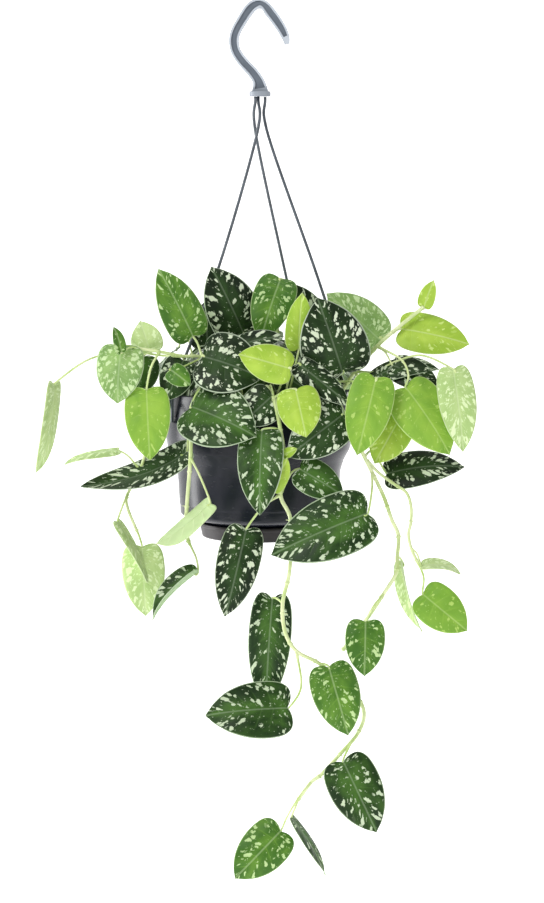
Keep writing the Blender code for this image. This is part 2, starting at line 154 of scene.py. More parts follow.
def turned(name, profile, steps):
    # a profile of (radius, z) in metres turned about Z, outer sides running down
    data = bpy.data.meshes.new(name)
    points = [(radius, 0, z) for radius, z in profile]
    data.from_pydata(points, [(first, first + 1) for first in range(len(points) - 1)], [])
    made = link(bpy.data.objects.new(name, data))
    screw = made.modifiers.new("turn", "SCREW")
    screw.steps = steps
    screw.render_steps = steps
    screw.use_merge_vertices = True
    screw.merge_threshold = 0.00001
    screw.use_smooth_shade = True
    return finished(made, name)


def softened(points, cut):
    # each inner corner of a profile becomes two points, a short way to either side of it
    rounded = [points[0]]
    for before, corner, after in zip(points, points[1:], points[2:]):
        corner = Vector(corner)
        for other in (Vector(before), Vector(after)):
            way = other - corner
            reach = min(cut, way.length * 0.4)
            rounded.append(tuple(corner + way.normalized() * reach))
    rounded.append(points[-1])
    return rounded


# materials

def newMaterial(name):
    finish = bpy.data.materials.new(name)
    finish.use_nodes = True
    return finish, finish.node_tree, finish.node_tree.nodes["Principled BSDF"]


def put(tree, kind, **settings):
    made = tree.nodes.new("ShaderNode" + kind)
    for name, value in settings.items():
        setattr(made, name, value)
    return made


def feed(tree, target, value):
    # a socket is linked, anything else is set
    if isinstance(value, bpy.types.NodeSocket):
        tree.links.new(value, target)
    else:
        target.default_value = value


def maths(tree, operation, first, second=0.0, third=0.0, clamp=False):
    made = put(tree, "Math", operation=operation, use_clamp=clamp)
    for socket, value in zip(made.inputs, (first, second, third)):
        feed(tree, socket, value)
    return made.outputs[0]


def ramp(tree, value, low, high, bottom=0.0, top=1.0):
    # smoothstep from low to high
    made = put(tree, "MapRange", interpolation_type="SMOOTHSTEP")
    for socket, setting in zip(made.inputs, (value, low, high, bottom, top)):
        feed(tree, socket, setting)
    return made.outputs[0]


def blendColours(tree, factor, first, second):
    made = put(tree, "Mix", data_type="RGBA")
    feed(tree, made.inputs["Factor"], factor)
    feed(tree, made.inputs[6], first)
    feed(tree, made.inputs[7], second)
    return made.outputs[2]


def noiseAt(tree, vector, scale, detail=3.0, roughness=0.5):
    made = put(tree, "TexNoise")
    feed(tree, made.inputs["Vector"], vector)
    made.inputs["Scale"].default_value = scale
    made.inputs["Detail"].default_value = detail
    made.inputs["Roughness"].default_value = roughness
    return made


def tinted(tree, colour, mark, amount, tint):
    # the tint laid over a colour where the mark is, at most by the amount
    return blendColours(tree, maths(tree, "MULTIPLY", mark, amount), colour, (*tint, 1))


def vectorMaths(tree, operation, first, second):
    made = put(tree, "VectorMath", operation=operation)
    feed(tree, made.inputs[0], first)
    feed(tree, made.inputs[1], second)
    return made.outputs[0]


def scaled(tree, vector, amount):
    made = put(tree, "VectorMath", operation="SCALE")
    tree.links.new(vector, made.inputs[0])
    made.inputs["Scale"].default_value = amount
    return made.outputs[0]


def parts(tree, vector):
    split = put(tree, "SeparateXYZ")
    tree.links.new(vector, split.inputs[0])
    return split.outputs


def newGroup(name, inputs, outputs):
    group = bpy.data.node_groups.new(name, "ShaderNodeTree")
    for label, kind, value in inputs:
        socket = group.interface.new_socket(label, in_out="INPUT", socket_type=kind)
        if value is not None:
            socket.default_value = value
    for label, kind in outputs:
        group.interface.new_socket(label, in_out="OUTPUT", socket_type=kind)
    return group, group.nodes.new("NodeGroupInput"), group.nodes.new("NodeGroupOutput")


def useGroup(tree, group, **values):
    made = tree.nodes.new("ShaderNodeGroup")
    made.node_tree = group
    for label, value in values.items():
        feed(tree, made.inputs[label], value)
    return made


def bumpFrom(tree, shader, height, strength, distance):
    bump = put(tree, "Bump")
    bump.inputs["Strength"].default_value = strength
    bump.inputs["Distance"].default_value = distance
    tree.links.new(height, bump.inputs["Height"])
    tree.links.new(bump.outputs[0], shader.inputs["Normal"])


# What leaves share: the marks on a blade, from its own place attributes.
# Noise scales are per mm of blade; the rest are shares of a fleck's cell or of the half blade.

markForm = dict(
    wobbleScale=0.32, wobble=3.4,  # bends the rows of flecks
    squash=0.42,  # flecks are this much narrower along the leaf than out along a side vein
    bareTo=0.05, fullFrom=0.62, innerChance=0.22, outerChance=1.2,
    smallest=0.27, sizeSpread=0.28, ragScale=1.1, rag=0.36,
    speckScale=0.62, speckCut=0.76, speckGain=0.2, speckShare=0.75,
    veinWidth=0.10, ribHalf=1.0, marginFrom=0.955, mottleScale=0.09, grainScale=2.6)


def fleckCells(tree, entry, warped, form):
    # one cell for each possible fleck, stretched out along the side veins
    stretched = vectorMaths(tree, "MULTIPLY", warped, (1.0, form["squash"], 1.0))
    size = put(tree, "CombineXYZ")
    for socket in size.inputs:
        tree.links.new(entry.outputs["Fleck Size"], socket)
    cells = put(tree, "TexVoronoi", feature="F1", voronoi_dimensions="3D")
    tree.links.new(vectorMaths(tree, "DIVIDE", stretched, size.outputs[0]), cells.inputs["Vector"])
    cells.inputs["Scale"].default_value = 1.0
    cells.inputs["Randomness"].default_value = 1.0
    pick = put(tree, "SeparateColor")
    tree.links.new(cells.outputs["Color"], pick.inputs[0])
    return cells.outputs["Distance"], pick.outputs[0], pick.outputs[1]


def fleckMask(tree, entry, place, along, outwards, form):
    wobble = noiseAt(tree, place, form["wobbleScale"], 2.0)
    centred = vectorMaths(tree, "SUBTRACT", wobble.outputs["Color"], (0.5, 0.5, 0.5))
    warped = vectorMaths(tree, "ADD", place, scaled(tree, centred, form["wobble"]))
    distance, luck, girth = fleckCells(tree, entry, warped, form)
    # more flecks towards the margin, few beside the midrib
    spread = ramp(
        tree, outwards, form["bareTo"], form["fullFrom"], form["innerChance"], form["outerChance"])
    chance = maths(tree, "MULTIPLY", spread, entry.outputs["Fleck Cover"])
    kept = ramp(tree, maths(tree, "SUBTRACT", chance, luck), -0.03, 0.03)
    radius = maths(tree, "MULTIPLY_ADD", girth, form["sizeSpread"], form["smallest"])
    rough = noiseAt(tree, place, form["ragScale"], 2.0).outputs[0]
    level = maths(tree, "SUBTRACT", distance, form["rag"] / 2)
    ragged = maths(tree, "MULTIPLY_ADD", rough, form["rag"], level)
    blot = ramp(tree, maths(tree, "SUBTRACT", radius, ragged), -0.02, 0.05)
    # fine specks between the flecks
    fine = noiseAt(tree, vectorMaths(tree, "MULTIPLY", warped, (1.6, 0.62, 1.0)), form["speckScale"], 1.5)
    lowered = maths(tree, "MULTIPLY", entry.outputs["Speck Cover"], form["speckGain"])
    speckCut = maths(tree, "SUBTRACT", form["speckCut"], lowered)
    speck = ramp(tree, maths(tree, "SUBTRACT", fine.outputs[0], speckCut), 0.0, 0.05)
    speck = maths(tree, "MULTIPLY", speck, form["speckShare"])
    marks = maths(tree, "MAXIMUM", maths(tree, "MULTIPLY", blot, kept), speck)
    # none on the midrib, on the very edge or at the two ends
    for value, low, high in ((outwards, 0.05, 0.16), (outwards, 0.97, 0.92),
                             (along, 0.02, 0.10), (along, 0.99, 0.93)):
        marks = maths(tree, "MULTIPLY", marks, ramp(tree, value, low, high))
    return marks


def leafMarksGroup(form):
    # leafPlace is mm along the foot of the side veins, mm across, and a number of the leaf's own;
    # leafShape is 0 to 1 along, 0 to 1 from midrib to margin, and the leaf's tone
    marks = ("Fleck", "Vein", "Midrib", "Margin", "Inner", "Mottle", "Tone", "Height")
    tree, entry, out = newGroup("leafMarks", [
        ("Fleck Size", "NodeSocketFloat", 4.0), ("Fleck Cover", "NodeSocketFloat", 0.5),
        ("Speck Cover", "NodeSocketFloat", 0.4), ("Vein Spacing", "NodeSocketFloat", 7.0),
    ], [(mark, "NodeSocketFloat") for mark in marks])
    place = put(tree, "Attribute", attribute_name="leafPlace").outputs["Vector"]
    shape = put(tree, "Attribute", attribute_name="leafShape").outputs["Vector"]
    along, outwards, tone = parts(tree, shape)
    foot, sideways = parts(tree, place)[:2]
    fleck = fleckMask(tree, entry, place, along, outwards, form)
    phase = maths(tree, "DIVIDE", foot, entry.outputs["Vein Spacing"])
    near = maths(tree, "ABSOLUTE", maths(tree, "SUBTRACT", maths(tree, "FRACT", phase), 0.5))
    vein = maths(tree, "MULTIPLY", ramp(tree, near, form["veinWidth"], 0.0), ramp(tree, outwards, 1.0, 0.2))
    midrib = ramp(tree, maths(tree, "ABSOLUTE", sideways), form["ribHalf"], form["ribHalf"] * 0.45)
    # painted highlight: a pale line along the very edge of the blade
    margin = ramp(tree, outwards, form["marginFrom"], form["marginFrom"] + 0.03)
    inner = ramp(tree, outwards, 0.75, 0.10)
    mottle = noiseAt(tree, place, form["mottleScale"], 4.0).outputs[0]
    grain = noiseAt(tree, place, form["grainScale"], 2.0).outputs[0]
    # veins and midrib are sunk, flecks stand up a little
    height = maths(tree, "MULTIPLY", grain, 0.16)
    for mark, depth in ((vein, -0.55), (midrib, -0.7), (fleck, 0.22)):
        height = maths(tree, "MULTIPLY_ADD", mark, depth, height)
    for mark, value in zip(marks, (fleck, vein, midrib, margin, inner, mottle, tone, height)):
        tree.links.new(value, out.inputs[mark])
    return tree


leafMarks = leafMarksGroup(markForm)

# Blade finishes: deep and light are the ends of the green; then the flecks' colour, size in mm and
# cover, the specks' cover, the colour of the painted highlight on the margin and of the veins, and how far
# the midrib and the middle pale
bladeTones = {
    "night": dict(deep=(0.004, 0.012, 0.003), light=(0.024, 0.062, 0.012), fleck=(0.58, 0.66, 0.49),
                  size=2.7, cover=0.66, speck=0.44, edge=(0.50, 0.60, 0.44), rib=0.12, centre=0.30),
    "forest": dict(deep=(0.008, 0.026, 0.005), light=(0.056, 0.140, 0.020), fleck=(0.51, 0.61, 0.42),
                   size=2.5, cover=0.44, speck=0.46, edge=(0.50, 0.62, 0.42), rib=0.16, centre=0.30),
    "fresh": dict(deep=(0.044, 0.130, 0.015), light=(0.165, 0.330, 0.040), fleck=(0.46, 0.62, 0.28),
                  size=2.4, cover=0.30, speck=0.52, edge=(0.46, 0.60, 0.30), rib=0.30, centre=0.10),
    "apple": dict(deep=(0.150, 0.310, 0.034), light=(0.270, 0.450, 0.056), fleck=(0.37, 0.54, 0.12),
                  size=1.9, cover=0.20, speck=0.46, edge=(0.50, 0.66, 0.24), rib=0.30, centre=0.10),
    "lime": dict(deep=(0.260, 0.420, 0.040), light=(0.430, 0.590, 0.085), fleck=(0.52, 0.67, 0.19),
                 size=1.8, cover=0.18, speck=0.46, edge=(0.60, 0.72, 0.32), rib=0.35, centre=0.10),
    "speckled": dict(deep=(0.130, 0.250, 0.070), light=(0.260, 0.410, 0.130), fleck=(0.50, 0.64, 0.34),
                     size=2.6, cover=0.80, speck=0.80, edge=(0.48, 0.60, 0.36), rib=0.25, centre=0.10),
    "frost": dict(deep=(0.330, 0.480, 0.170), light=(0.520, 0.650, 0.300), fleck=(0.64, 0.76, 0.44),
                  size=2.4, cover=0.70, speck=0.75, edge=(0.60, 0.70, 0.42), rib=0.30, centre=0.10),
}
underTint = (0.30, 0.42, 0.22)


def bladeMaterial(name, tone):
    finish, tree, shader = newMaterial(name)
    marks = useGroup(tree, leafMarks, **{
        "Fleck Size": tone["size"], "Fleck Cover": tone["cover"], "Speck Cover": tone["speck"]}).outputs
    shade = maths(tree, "ADD", marks["Mottle"], marks["Tone"])
    shade = maths(tree, "MULTIPLY_ADD", marks["Inner"], tone["centre"], shade)
    green = blendColours(tree, ramp(tree, shade, 0.30, 1.0), (*tone["deep"], 1), (*tone["light"], 1))
    # the margin's pale line is a painted highlight along the leaf outline
    for mark, amount, tint in (("Vein", 0.35, "light"), ("Midrib", tone["rib"], "edge"),
                               ("Fleck", 0.94, "fleck"), ("Margin", 0.85, "edge")):
        green = tinted(tree, green, marks[mark], amount, tone[tint])
    tree.links.new(green, shader.inputs["Base Color"])
    tree.links.new(maths(tree, "MULTIPLY_ADD", marks["Mottle"], 0.22, 0.34), shader.inputs["Roughness"])
    shader.inputs["Specular IOR Level"].default_value = 0.18
    bumpFrom(tree, shader, marks["Height"], 0.55, 0.0006)
    return finish


def underMaterial(name, tone):
    # the duller underside: paler green, veins standing up, no flecks
    finish, tree, shader = newMaterial(name + "Under")
    marks = useGroup(tree, leafMarks, **{
        "Fleck Size": tone["size"], "Fleck Cover": 0.0, "Speck Cover": 0.0}).outputs
    mixed = [0.45 * light + 0.55 * under for light, under in zip(tone["light"], underTint)]
    pale = [min(1, value * 1.35) for value in mixed]
    green = blendColours(tree, marks["Mottle"], (*mixed, 1), (*pale, 1))
    green = tinted(tree, green, marks["Vein"], 0.5, tone["edge"])
    tree.links.new(green, shader.inputs["Base Color"])
    tree.links.new(maths(tree, "MULTIPLY_ADD", marks["Mottle"], 0.2, 0.5), shader.inputs["Roughness"])
    bumpFrom(tree, shader, maths(tree, "MULTIPLY", marks["Height"], -1.0), 0.5, 0.0006)
    return finish


def stalkMaterial(name, pale, green, blush):
    # pale green with paler streaks along the stalk and a few warmer patches
    finish, tree, shader = newMaterial(name)
    coords = put(tree, "TexCoord").outputs["Object"]
    streak = noiseAt(tree, vectorMaths(tree, "MULTIPLY", coords, (1.0, 1.0, 0.22)), 420.0, 3.0).outputs[0]
    patch = noiseAt(tree, coords, 48.0, 2.0).outputs[0]
    colour = blendColours(tree, ramp(tree, patch, 0.3, 0.7), (*pale, 1), (*green, 1))
    colour = tinted(tree, colour, ramp(tree, streak, 0.52, 0.75), 0.5, pale)
    colour = tinted(tree, colour, ramp(tree, patch, 0.66, 0.8), 0.35, blush)
    tree.links.new(colour, shader.inputs["Base Color"])
    tree.links.new(maths(tree, "MULTIPLY_ADD", streak, 0.25, 0.33), shader.inputs["Roughness"])
    bumpFrom(tree, shader, streak, 0.35, 0.0004)
    return finish


toneFinish = {name: bladeMaterial(name + "Blade", tone) for name, tone in bladeTones.items()}
toneUnder = {name: underMaterial(name + "Blade", tone) for name, tone in bladeTones.items()}
stalkFinish = stalkMaterial("leafStalk", (0.62, 0.70, 0.36), (0.36, 0.50, 0.14), (0.42, 0.34, 0.14))
stemFinish = stalkMaterial("vineStem", (0.66, 0.72, 0.42), (0.40, 0.52, 0.18), (0.45, 0.38, 0.18))
print("leaf and stem finishes made")


# the vines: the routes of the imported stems, in mm

vineRoutes = {
    "front_vine": [(3, -20, -352), (6, -62, -331), (13, -92, -338), (19, -97, -365), (22, -98, -389),
                   (19, -99, -421), (28, -98, -444), (27, -98, -487), (21, -98, -516), (23, -99, -541),
                   (33, -100, -558), (53, -100, -569), (73, -99, -587), (87, -99, -600), (92, -99, -615),
                   (86, -98, -632), (71, -97, -650), (55, -96, -668), (46, -96, -675), (35, -96, -690)],
    "right_vine": [(46, -20, -352), (56, -50, -333), (66, -72, -337), (81, -80, -367), (92, -80, -390),
                   (99, -80, -404), (109, -80, -425), (116, -80, -445), (122, -80, -459), (121, -82, -478),
                   (120, -84, -492), (109, -86, -510), (98, -86, -527), (85, -84, -546), (74, -85, -559)],
    "right_branch": [(95, -78, -394), (105, -74, -405), (119, -76, -415), (129, -78, -422),
                     (133, -78, -434), (133, -78, -448), (131, -79, -458), (133, -80, -470),
                     (138, -82, -481)],
    "right_shoot": [(66, -8, -352), (77, -24, -333), (85, -40, -319), (104, -48, -296), (124, -50, -278),
                    (144, -50, -262)],
    "left_shoot": [(-35, -20, -352), (-41, -50, -322), (-49, -62, -305), (-67, -70, -303), (-86, -74, -299),
                   (-104, -77, -296)],
    "left_vine": [(-58, -6, -352), (-72, -12, -333), (-85, -26, -338), (-92, -50, -362), (-104, -62, -404),
                  (-115, -66, -425), (-115, -68, -436), (-107, -70, -456)],
    "left_front_vine": [(-39, -30, -352), (-45, -48, -334), (-52, -66, -333), (-58, -80, -352),
                        (-59, -88, -390), (-63, -90, -446), (-61, -90, -463)],
    "back_vine": [(-10, 30, -352), (-16, 62, -334), (-20, 84, -337), (-24, 96, -372), (-22, 99, -410),
                  (-26, 99, -442)],
}

# Each leaf: the vine and the point of its route that it grows from (or "soil" and a spot there),
# the points its stalk passes, base, tip, width, the way the upper side faces, fold along the
# midrib in degrees, arch, sideways bend, and the blade's finish.
leafPlan = {
    "crown_leaf_01": ("left_shoot", 2, (), (-58, -52, -286), (-87, -60, -228),
                      38, (0.2, -1, 0.1), 12, 0.06, 0.0, "fresh"),
    "crown_leaf_02": ("soil", (-14, 2), ((-14, -8, -316),), (-14, -16, -286), (-42, -30, -227),
                      48, (0.1, -1, 0.2), 14, 0.08, 0.0, "night"),
    "crown_leaf_03": ("soil", (16, 10), ((30, 6, -296), (28, -2, -248)), (19, -14, -239), (1, -32, -293),
                      38, (0, -1, 0.3), 12, 0.16, 0.0, "fresh"),
    "crown_leaf_04": ("soil", (24, -42), ((30, -58, -322),), (35, -68, -297), (38, -78, -248),
                      26, (-0.2, -1, 0.1), 14, 0.06, 0.0, "lime"),
    "crown_leaf_05": ("soil", (36, 24), ((46, 22, -316),), (52, 17, -286), (26, 10, -243),
                      34, (0, -1, 0.1), 10, 0.06, 0.0, "night"),
    "crown_leaf_06": ("soil", (34, -50), ((54, -68, -328),), (73, -71, -317), (51, -80, -252),
                      60, (0, -1, 0.2), 7, 0.08, 0.0, "night"),
    "crown_leaf_07": ("soil", (56, 14), ((84, 8, -326),), (108, -8, -293), (61, -24, -251),
                      42, (0, -1, 0.2), 8, 0.06, 0.0, "speckled"),
    "crown_leaf_08": ("soil", (-26, -46), ((-40, -66, -326),), (-48, -78, -303), (3, -86, -321),
                      56, (0.1, -1, 0.4), 10, 0.08, 0.0, "night"),
    "crown_leaf_09": ("soil", (12, -44), ((20, -80, -326),), (27, -98, -312), (-17, -106, -299),
                      33, (0, -1, 0.2), 8, 0.06, 0.0, "lime"),
    "crown_leaf_10": ("front_vine", 2, (), (32, -104, -330), (41, -111, -370),
                      38, (0, -1, 0.2), 8, 0.08, 0.0, "lime"),
    "crown_leaf_11": ("soil", (22, -56), ((26, -74, -324),), (35, -89, -309), (79, -97, -344),
                      24, (0.1, -1, 0.3), 8, 0.04, 0.0, "night"),
    "crown_leaf_12": ("soil", (-26, -56), ((-36, -66, -333), (-50, -78, -331)),
                      (-58, -86, -346), (-2, -110, -369),
                      60, (0.1, -1, 0.4), 12, 0.06, 0.0, "forest"),
    "crown_leaf_13": ("front_vine", 3, (), (3, -98, -366), (1, -112, -437),
                      40, (-0.1, -1, 0.2), 14, 0.1, 0.0, "forest"),
    "crown_leaf_14": ("right_vine", 3, (), (73, -92, -352), (25, -103, -388),
                      44, (0.1, -1, 0.2), 16, 0.06, 0.0, "night"),
    "right_leaf_01": ("right_shoot", 3, (), (126, -44, -281), (185, -48, -294),
                      38, (0, -1, 0.4), 8, 0.06, 0.0, "lime"),
    "right_leaf_02": ("soil", (54, -28), ((67, -44, -329), (93, -76, -325)),
                      (101, -98, -321), (85, -107, -386),
                      40, (0, -1, 0.1), 8, 0.06, 0.0, "apple"),
    "right_leaf_03": ("right_vine", 3, ((104, -76, -352),), (123, -73, -357), (101, -80, -396),
                      36, (0, -1, 0.2), 8, 0.06, 0.0, "lime"),
    "right_leaf_04": ("right_shoot", 3, ((124, -69, -306), (130, -80, -319)),
                      (128, -83, -330), (166, -92, -387),
                      48, (0.1, -1, 0.3), 8, 0.08, 0.0, "apple"),
    "right_leaf_05": ("right_shoot", 2, ((104, -52, -318), (119, -60, -309), (142, -78, -302)),
                      (168, -92, -314), (177, -100, -384),
                      33, (0.1, -1, 0.1), 8, 0.06, 0.0, "frost"),
    "right_leaf_06": ("right_vine", 4, ((100, -60, -388),), (114, -50, -408), (181, -52, -401),
                      36, (0, -1, 0.7), 10, 0.08, 0.0, "night"),
    "right_leaf_07": ("right_vine", 5, ((98, -98, -418),), (93, -112, -436), (11, -116, -471),
                      56, (0, -1, 0.4), 10, 0.05, 0.0, "forest"),
    "right_leaf_08": ("right_vine", 9, (), (126, -66, -486), (143, -68, -547),
                      22, (-1, -0.35, 0), 40, 0.04, 0.0, "frost"),
    "right_leaf_09": ("right_vine", 11, ((100, -96, -519),), (93, -97, -533), (92, -101, -580),
                      35, (0, -1, 0.1), 8, 0.06, 0.0, "fresh"),
    "right_leaf_10": ("right_branch", 8, ((144, -84, -495),), (144, -84, -511), (182, -90, -542),
                      38, (-0.1, -1, 0.2), 8, 0.06, 0.0, "apple"),
    "right_leaf_11": ("right_branch", 7, (), (143, -90, -484), (176, -92, -490),
                      20, (0.1, -0.4, 1), 20, 0.12, 0.0, "frost"),
    "front_leaf_01": ("front_vine", 5, (), (-11, -102, -452), (-29, -106, -527),
                      38, (0.1, -1, 0.1), 10, 0.06, 0.0, "night"),
    "front_leaf_02": ("front_vine", 8, (), (12, -84, -515), (6, -80, -611),
                      38, (-0.1, -1, 0), 12, 0.06, 0.0, "forest"),
    "front_leaf_03": ("front_vine", 10, ((37, -107, -588),), (25, -106, -607), (-46, -110, -612),
                      52, (0, -1, 0.5), 10, 0.05, 0.0, "forest"),
    "front_leaf_04": ("front_vine", 11, (), (61, -107, -571), (78, -113, -630),
                      42, (0, -1, 0.2), 8, 0.06, 0.0, "fresh"),
    "front_leaf_05": ("front_vine", 15, (), (74, -105, -655), (103, -111, -716),
                      47, (0, -1, 0.2), 8, 0.06, 0.0, "forest"),
    "front_leaf_06": ("front_vine", 18, ((37, -104, -684), (26, -103, -702)),
                      (19, -99, -718), (-21, -105, -759),
                      42, (0.1, -1, 0.3), 8, 0.06, 0.0, "fresh"),
    "front_leaf_07": ("front_vine", 19, (), (30, -94, -708), (59, -96, -758),
                      26, (0.9, -0.2, 0.5), 12, 0.04, 0.0, "forest"),
    "left_leaf_01": ("left_shoot", 5, (), (-119, -81, -295), (-122, -88, -343),
                     42, (-0.1, -1, 0.3), 8, 0.1, 0.0, "speckled"),
    "left_leaf_02": ("left_shoot", 4, (), (-95, -60, -300), (-103, -64, -273),
                     28, (0, -1, 0.4), 10, 0.06, 0.0, "frost"),
    "left_leaf_03": ("left_shoot", 4, ((-93, -84, -312),), (-97, -86, -332), (-94, -92, -392),
                     40, (0, -1, 0.1), 8, 0.06, 0.0, "apple"),
    "left_leaf_04": ("left_shoot", 3, ((-84, -52, -304), (-112, -52, -301), (-147, -62, -306)),
                     (-178, -70, -329), (-193, -72, -406),
                     30, (1, -0.45, 0), 14, 0.05, 0.0, "frost"),
    "left_leaf_05": ("left_front_vine", 3, (), (-64, -68, -388), (-155, -86, -412),
                     38, (0.1, -0.6, 1), 16, -0.11, 0.0, "night"),
    "left_leaf_06": ("left_front_vine", 4, ((-50, -100, -406),), (-42, -108, -428), (-87, -110, -464),
                     34, (0.35, 0.42, -0.84), 26, 0.04, 0.0, "frost"),
    "left_leaf_07": ("left_vine", 7, (), (-102, -73, -471), (-99, -77, -531),
                     38, (0, -1, 0.1), 8, 0.06, 0.0, "frost"),
    "left_leaf_08": ("left_front_vine", 6, ((-54, -92, -478),), (-54, -93, -490), (-94, -95, -531),
                     24, (-0.6, -0.3, 0.8), 46, 0.05, 0.0, "forest"),
    "back_leaf_01": ("soil", (-30, 28), ((-38, 42, -318),), (-40, 50, -300), (-64, 84, -342),
                     44, (-0.3, 0.6, 1), 10, 0.1, 0.0, "night"),
    "back_leaf_02": ("soil", (42, 24), ((52, 30, -314),), (56, 34, -296), (84, 62, -338),
                     46, (0.6, 0.5, 1), 10, 0.1, 0.0, "fresh"),
    "back_leaf_03": ("soil", (4, 42), ((2, 50, -305),), (2, 54, -287), (-4, 98, -325),
                     44, (0, 0.5, 1), 10, 0.1, 0.0, "forest"),
    "back_leaf_04": ("back_vine", 3, (), (-8, 103, -386), (10, 110, -448),
                     46, (0.2, 1, 0.2), 10, 0.06, 0.0, "forest"),
    "back_leaf_05": ("back_vine", 4, (), (-38, 103, -412), (-52, 108, -462),
                     40, (-0.2, 1, 0.2), 10, 0.06, 0.0, "apple"),
}

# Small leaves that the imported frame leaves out, in the same form
smallLeaves = {
    "small_leaf_01": ("soil", (-30, -4), ((-42, -8, -322),), (-46, -10, -299), (-47, -16, -258),
                      32, (0, -1, 0.2), 12, 0.06, 0.0, "night"),
    "small_leaf_02": ("right_shoot", 5, (), (145, -50, -261), (153, -53, -238),
                      15, (-0.2, -1, 0.3), 22, 0.05, 0.0, "lime"),
    "small_leaf_03": ("right_shoot", 2, ((92, -44, -330),), (99, -56, -324), (158, -62, -314),
                      26, (0.1, -0.8, 1), 12, 0.14, 0.0, "night"),
    "small_leaf_04": ("right_shoot", 3, (), (118, -62, -312), (158, -72, -331),
                      28, (0, -1, 0.4), 12, 0.06, 0.0, "night"),
    "small_leaf_05": ("left_shoot", 4, (), (-100, -66, -304), (-106, -70, -338),
                      32, (0.2, -1, 0.2), 10, 0.06, 0.0, "forest"),
    "small_leaf_06": ("left_shoot", 5, (), (-118, -92, -298), (-124, -96, -276),
                      12, (0.6, -1, 0.2), 26, 0.04, 0.0, "fresh"),
    "small_leaf_07": ("left_shoot", 2, ((-66, -76, -312),), (-76, -84, -314), (-59, -88, -327),
                      19, (0.1, -1, 0.2), 10, 0.06, 0.0, "fresh"),
    "small_leaf_08": ("left_shoot", 3, (), (-66, -62, -308), (-80, -66, -342),
                      32, (-0.2, -1, 0.2), 10, 0.06, 0.0, "night"),
    "small_leaf_09": ("soil", (-12, -52), ((-18, -58, -318),), (-22, -62, -296), (22, -66, -286),
                      22, (0, -1, 0.6), 12, 0.08, 0.0, "night"),
    "small_leaf_10": ("front_vine", 5, ((28, -90, -404),), (36, -90, -400), (74, -92, -423),
                      32, (-0.1, -1, 0.3), 10, 0.06, 0.0, "forest"),
    "small_leaf_11": ("soil", (8, -60), ((10, -80, -328),), (12, -92, -336), (-14, -95, -360),
                      36, (0, -1, 0.3), 10, 0.06, 0.0, "night"),
    "small_leaf_12": ("front_vine", 4, ((16, -107, -404),), (12, -107, -416), (25, -110, -388),
                      18, (0.3, -1, 0), 24, 0.04, 0.0, "lime"),
    "small_leaf_13": ("front_vine", 3, (), (22, -104, -386), (33, -108, -380),
                      9, (0.1, -1, 0.4), 18, 0.04, 0.0, "lime"),
    "small_leaf_14": ("left_vine", 5, (), (-122, -82, -448), (-96, -88, -500),
                      24, (1, -0.3, 0.3), 16, 0.05, 0.0, "frost"),
    "small_leaf_15": ("left_vine", 4, (), (-124, -64, -386), (-170, -70, -396),
                      22, (-0.1, -0.25, 1), 14, 0.05, 0.0, "frost"),
}

smallLeaves["small_leaf_16"] = (
    "soil", (20, -8), ((34, -22, -336),), (46, -36, -338), (12, -40, -316),
    42, (0, -1, 0.3), 10, 0.06, 0.0, "night")

# The filling leaves stand in a widening spiral over the pot; lengths in mm
crownFill = dict(
    count=26, seed=8, turn=137.5, firstTurn=40, ringStart=14, ringStep=2.3,
    rootShare=0.8, rootLimit=66, reachShare=1.15, reachLimit=84, frontShare=0.35,
    middleZ=-288, fallWithRing=0.34, unevenness=9, setBack=6, kneeShare=0.55, kneeRise=10,
    length=(46, 66), widthShare=0.68, sideLimit=96, frontLimit=-30, backLimit=112,
    tones=("night", "forest", "fresh", "night"))


def fillingLeaves(plan):
    # leaves over the middle and the far side of the pot, each turned on from the last
    draw = random.Random(plan["seed"])
    made = {}
    for index in range(plan["count"]):
        angle = math.radians(plan["turn"] * index + plan["firstTurn"])
        ring = plan["ringStart"] + plan["ringStep"] * index
        out = Vector((math.cos(angle), math.sin(angle), 0))
        root = out * min(plan["rootLimit"], ring * plan["rootShare"])
        if out.y < 0:
            out.y *= plan["frontShare"]
            root.y *= plan["frontShare"]
        reach = min(plan["reachLimit"], ring * plan["reachShare"])
        height = plan["middleZ"] - plan["fallWithRing"] * ring
        height += draw.uniform(-plan["unevenness"], plan["unevenness"])
        base = out * reach + Vector((0, plan["setBack"], height))
        length = draw.uniform(*plan["length"])
        fall = 0.35 + ring / 90
        sway = Vector((-out.y, out.x, 0)) * draw.uniform(-0.5, 0.5)
        tip = base + (out + sway - Vector((0, 0, fall))).normalized() * length
        tip.x = max(-plan["sideLimit"], min(plan["sideLimit"], tip.x))
        tip.y = max(plan["frontLimit"], min(plan["backLimit"], tip.y))
        knee = base * plan["kneeShare"] + root * (1 - plan["kneeShare"])
        knee.z = base.z + plan["kneeRise"]
        facing = out * 0.7 + Vector((0, 0, 0.9))
        made["fill_leaf_%02d" % (index + 1)] = (
            "soil", tuple(root[:2]), (tuple(knee),), tuple(base), tuple(tip), length * plan["widthShare"],
            tuple(facing), 10, 0.09, draw.uniform(-0.06, 0.06), draw.choice(plan["tones"]))
    return made


# One leaf: a blade drawn from midrib to margin, its rib and its stalk

# margin is half the outline, and midrib the place that each of its points is joined to by a side
# vein; both run from base 0 to tip 1, and across, 1 is the half width. The rest is in mm.
bladeForm = dict(
    margin=[(0, 0), (-0.05, 0.30), (-0.04, 0.66), (0.07, 0.91), (0.28, 1.0), (0.51, 0.94),
            (0.725, 0.71), (0.885, 0.375), (0.967, 0.11), (1, 0)],
    midrib=[0, 0.0, 0.015, 0.07, 0.18, 0.34, 0.52, 0.72, 0.90, 1],
    alongSteps=44, acrossSteps=22, veinCurve=1.15, thickness=0.55, veinSpacing=7.0, quilting=0.22,
    foldRadius=1.6, curlFrom=0.55, waves=9.5, ribRadius=0.62, ribSteps=14, ribSides=6)

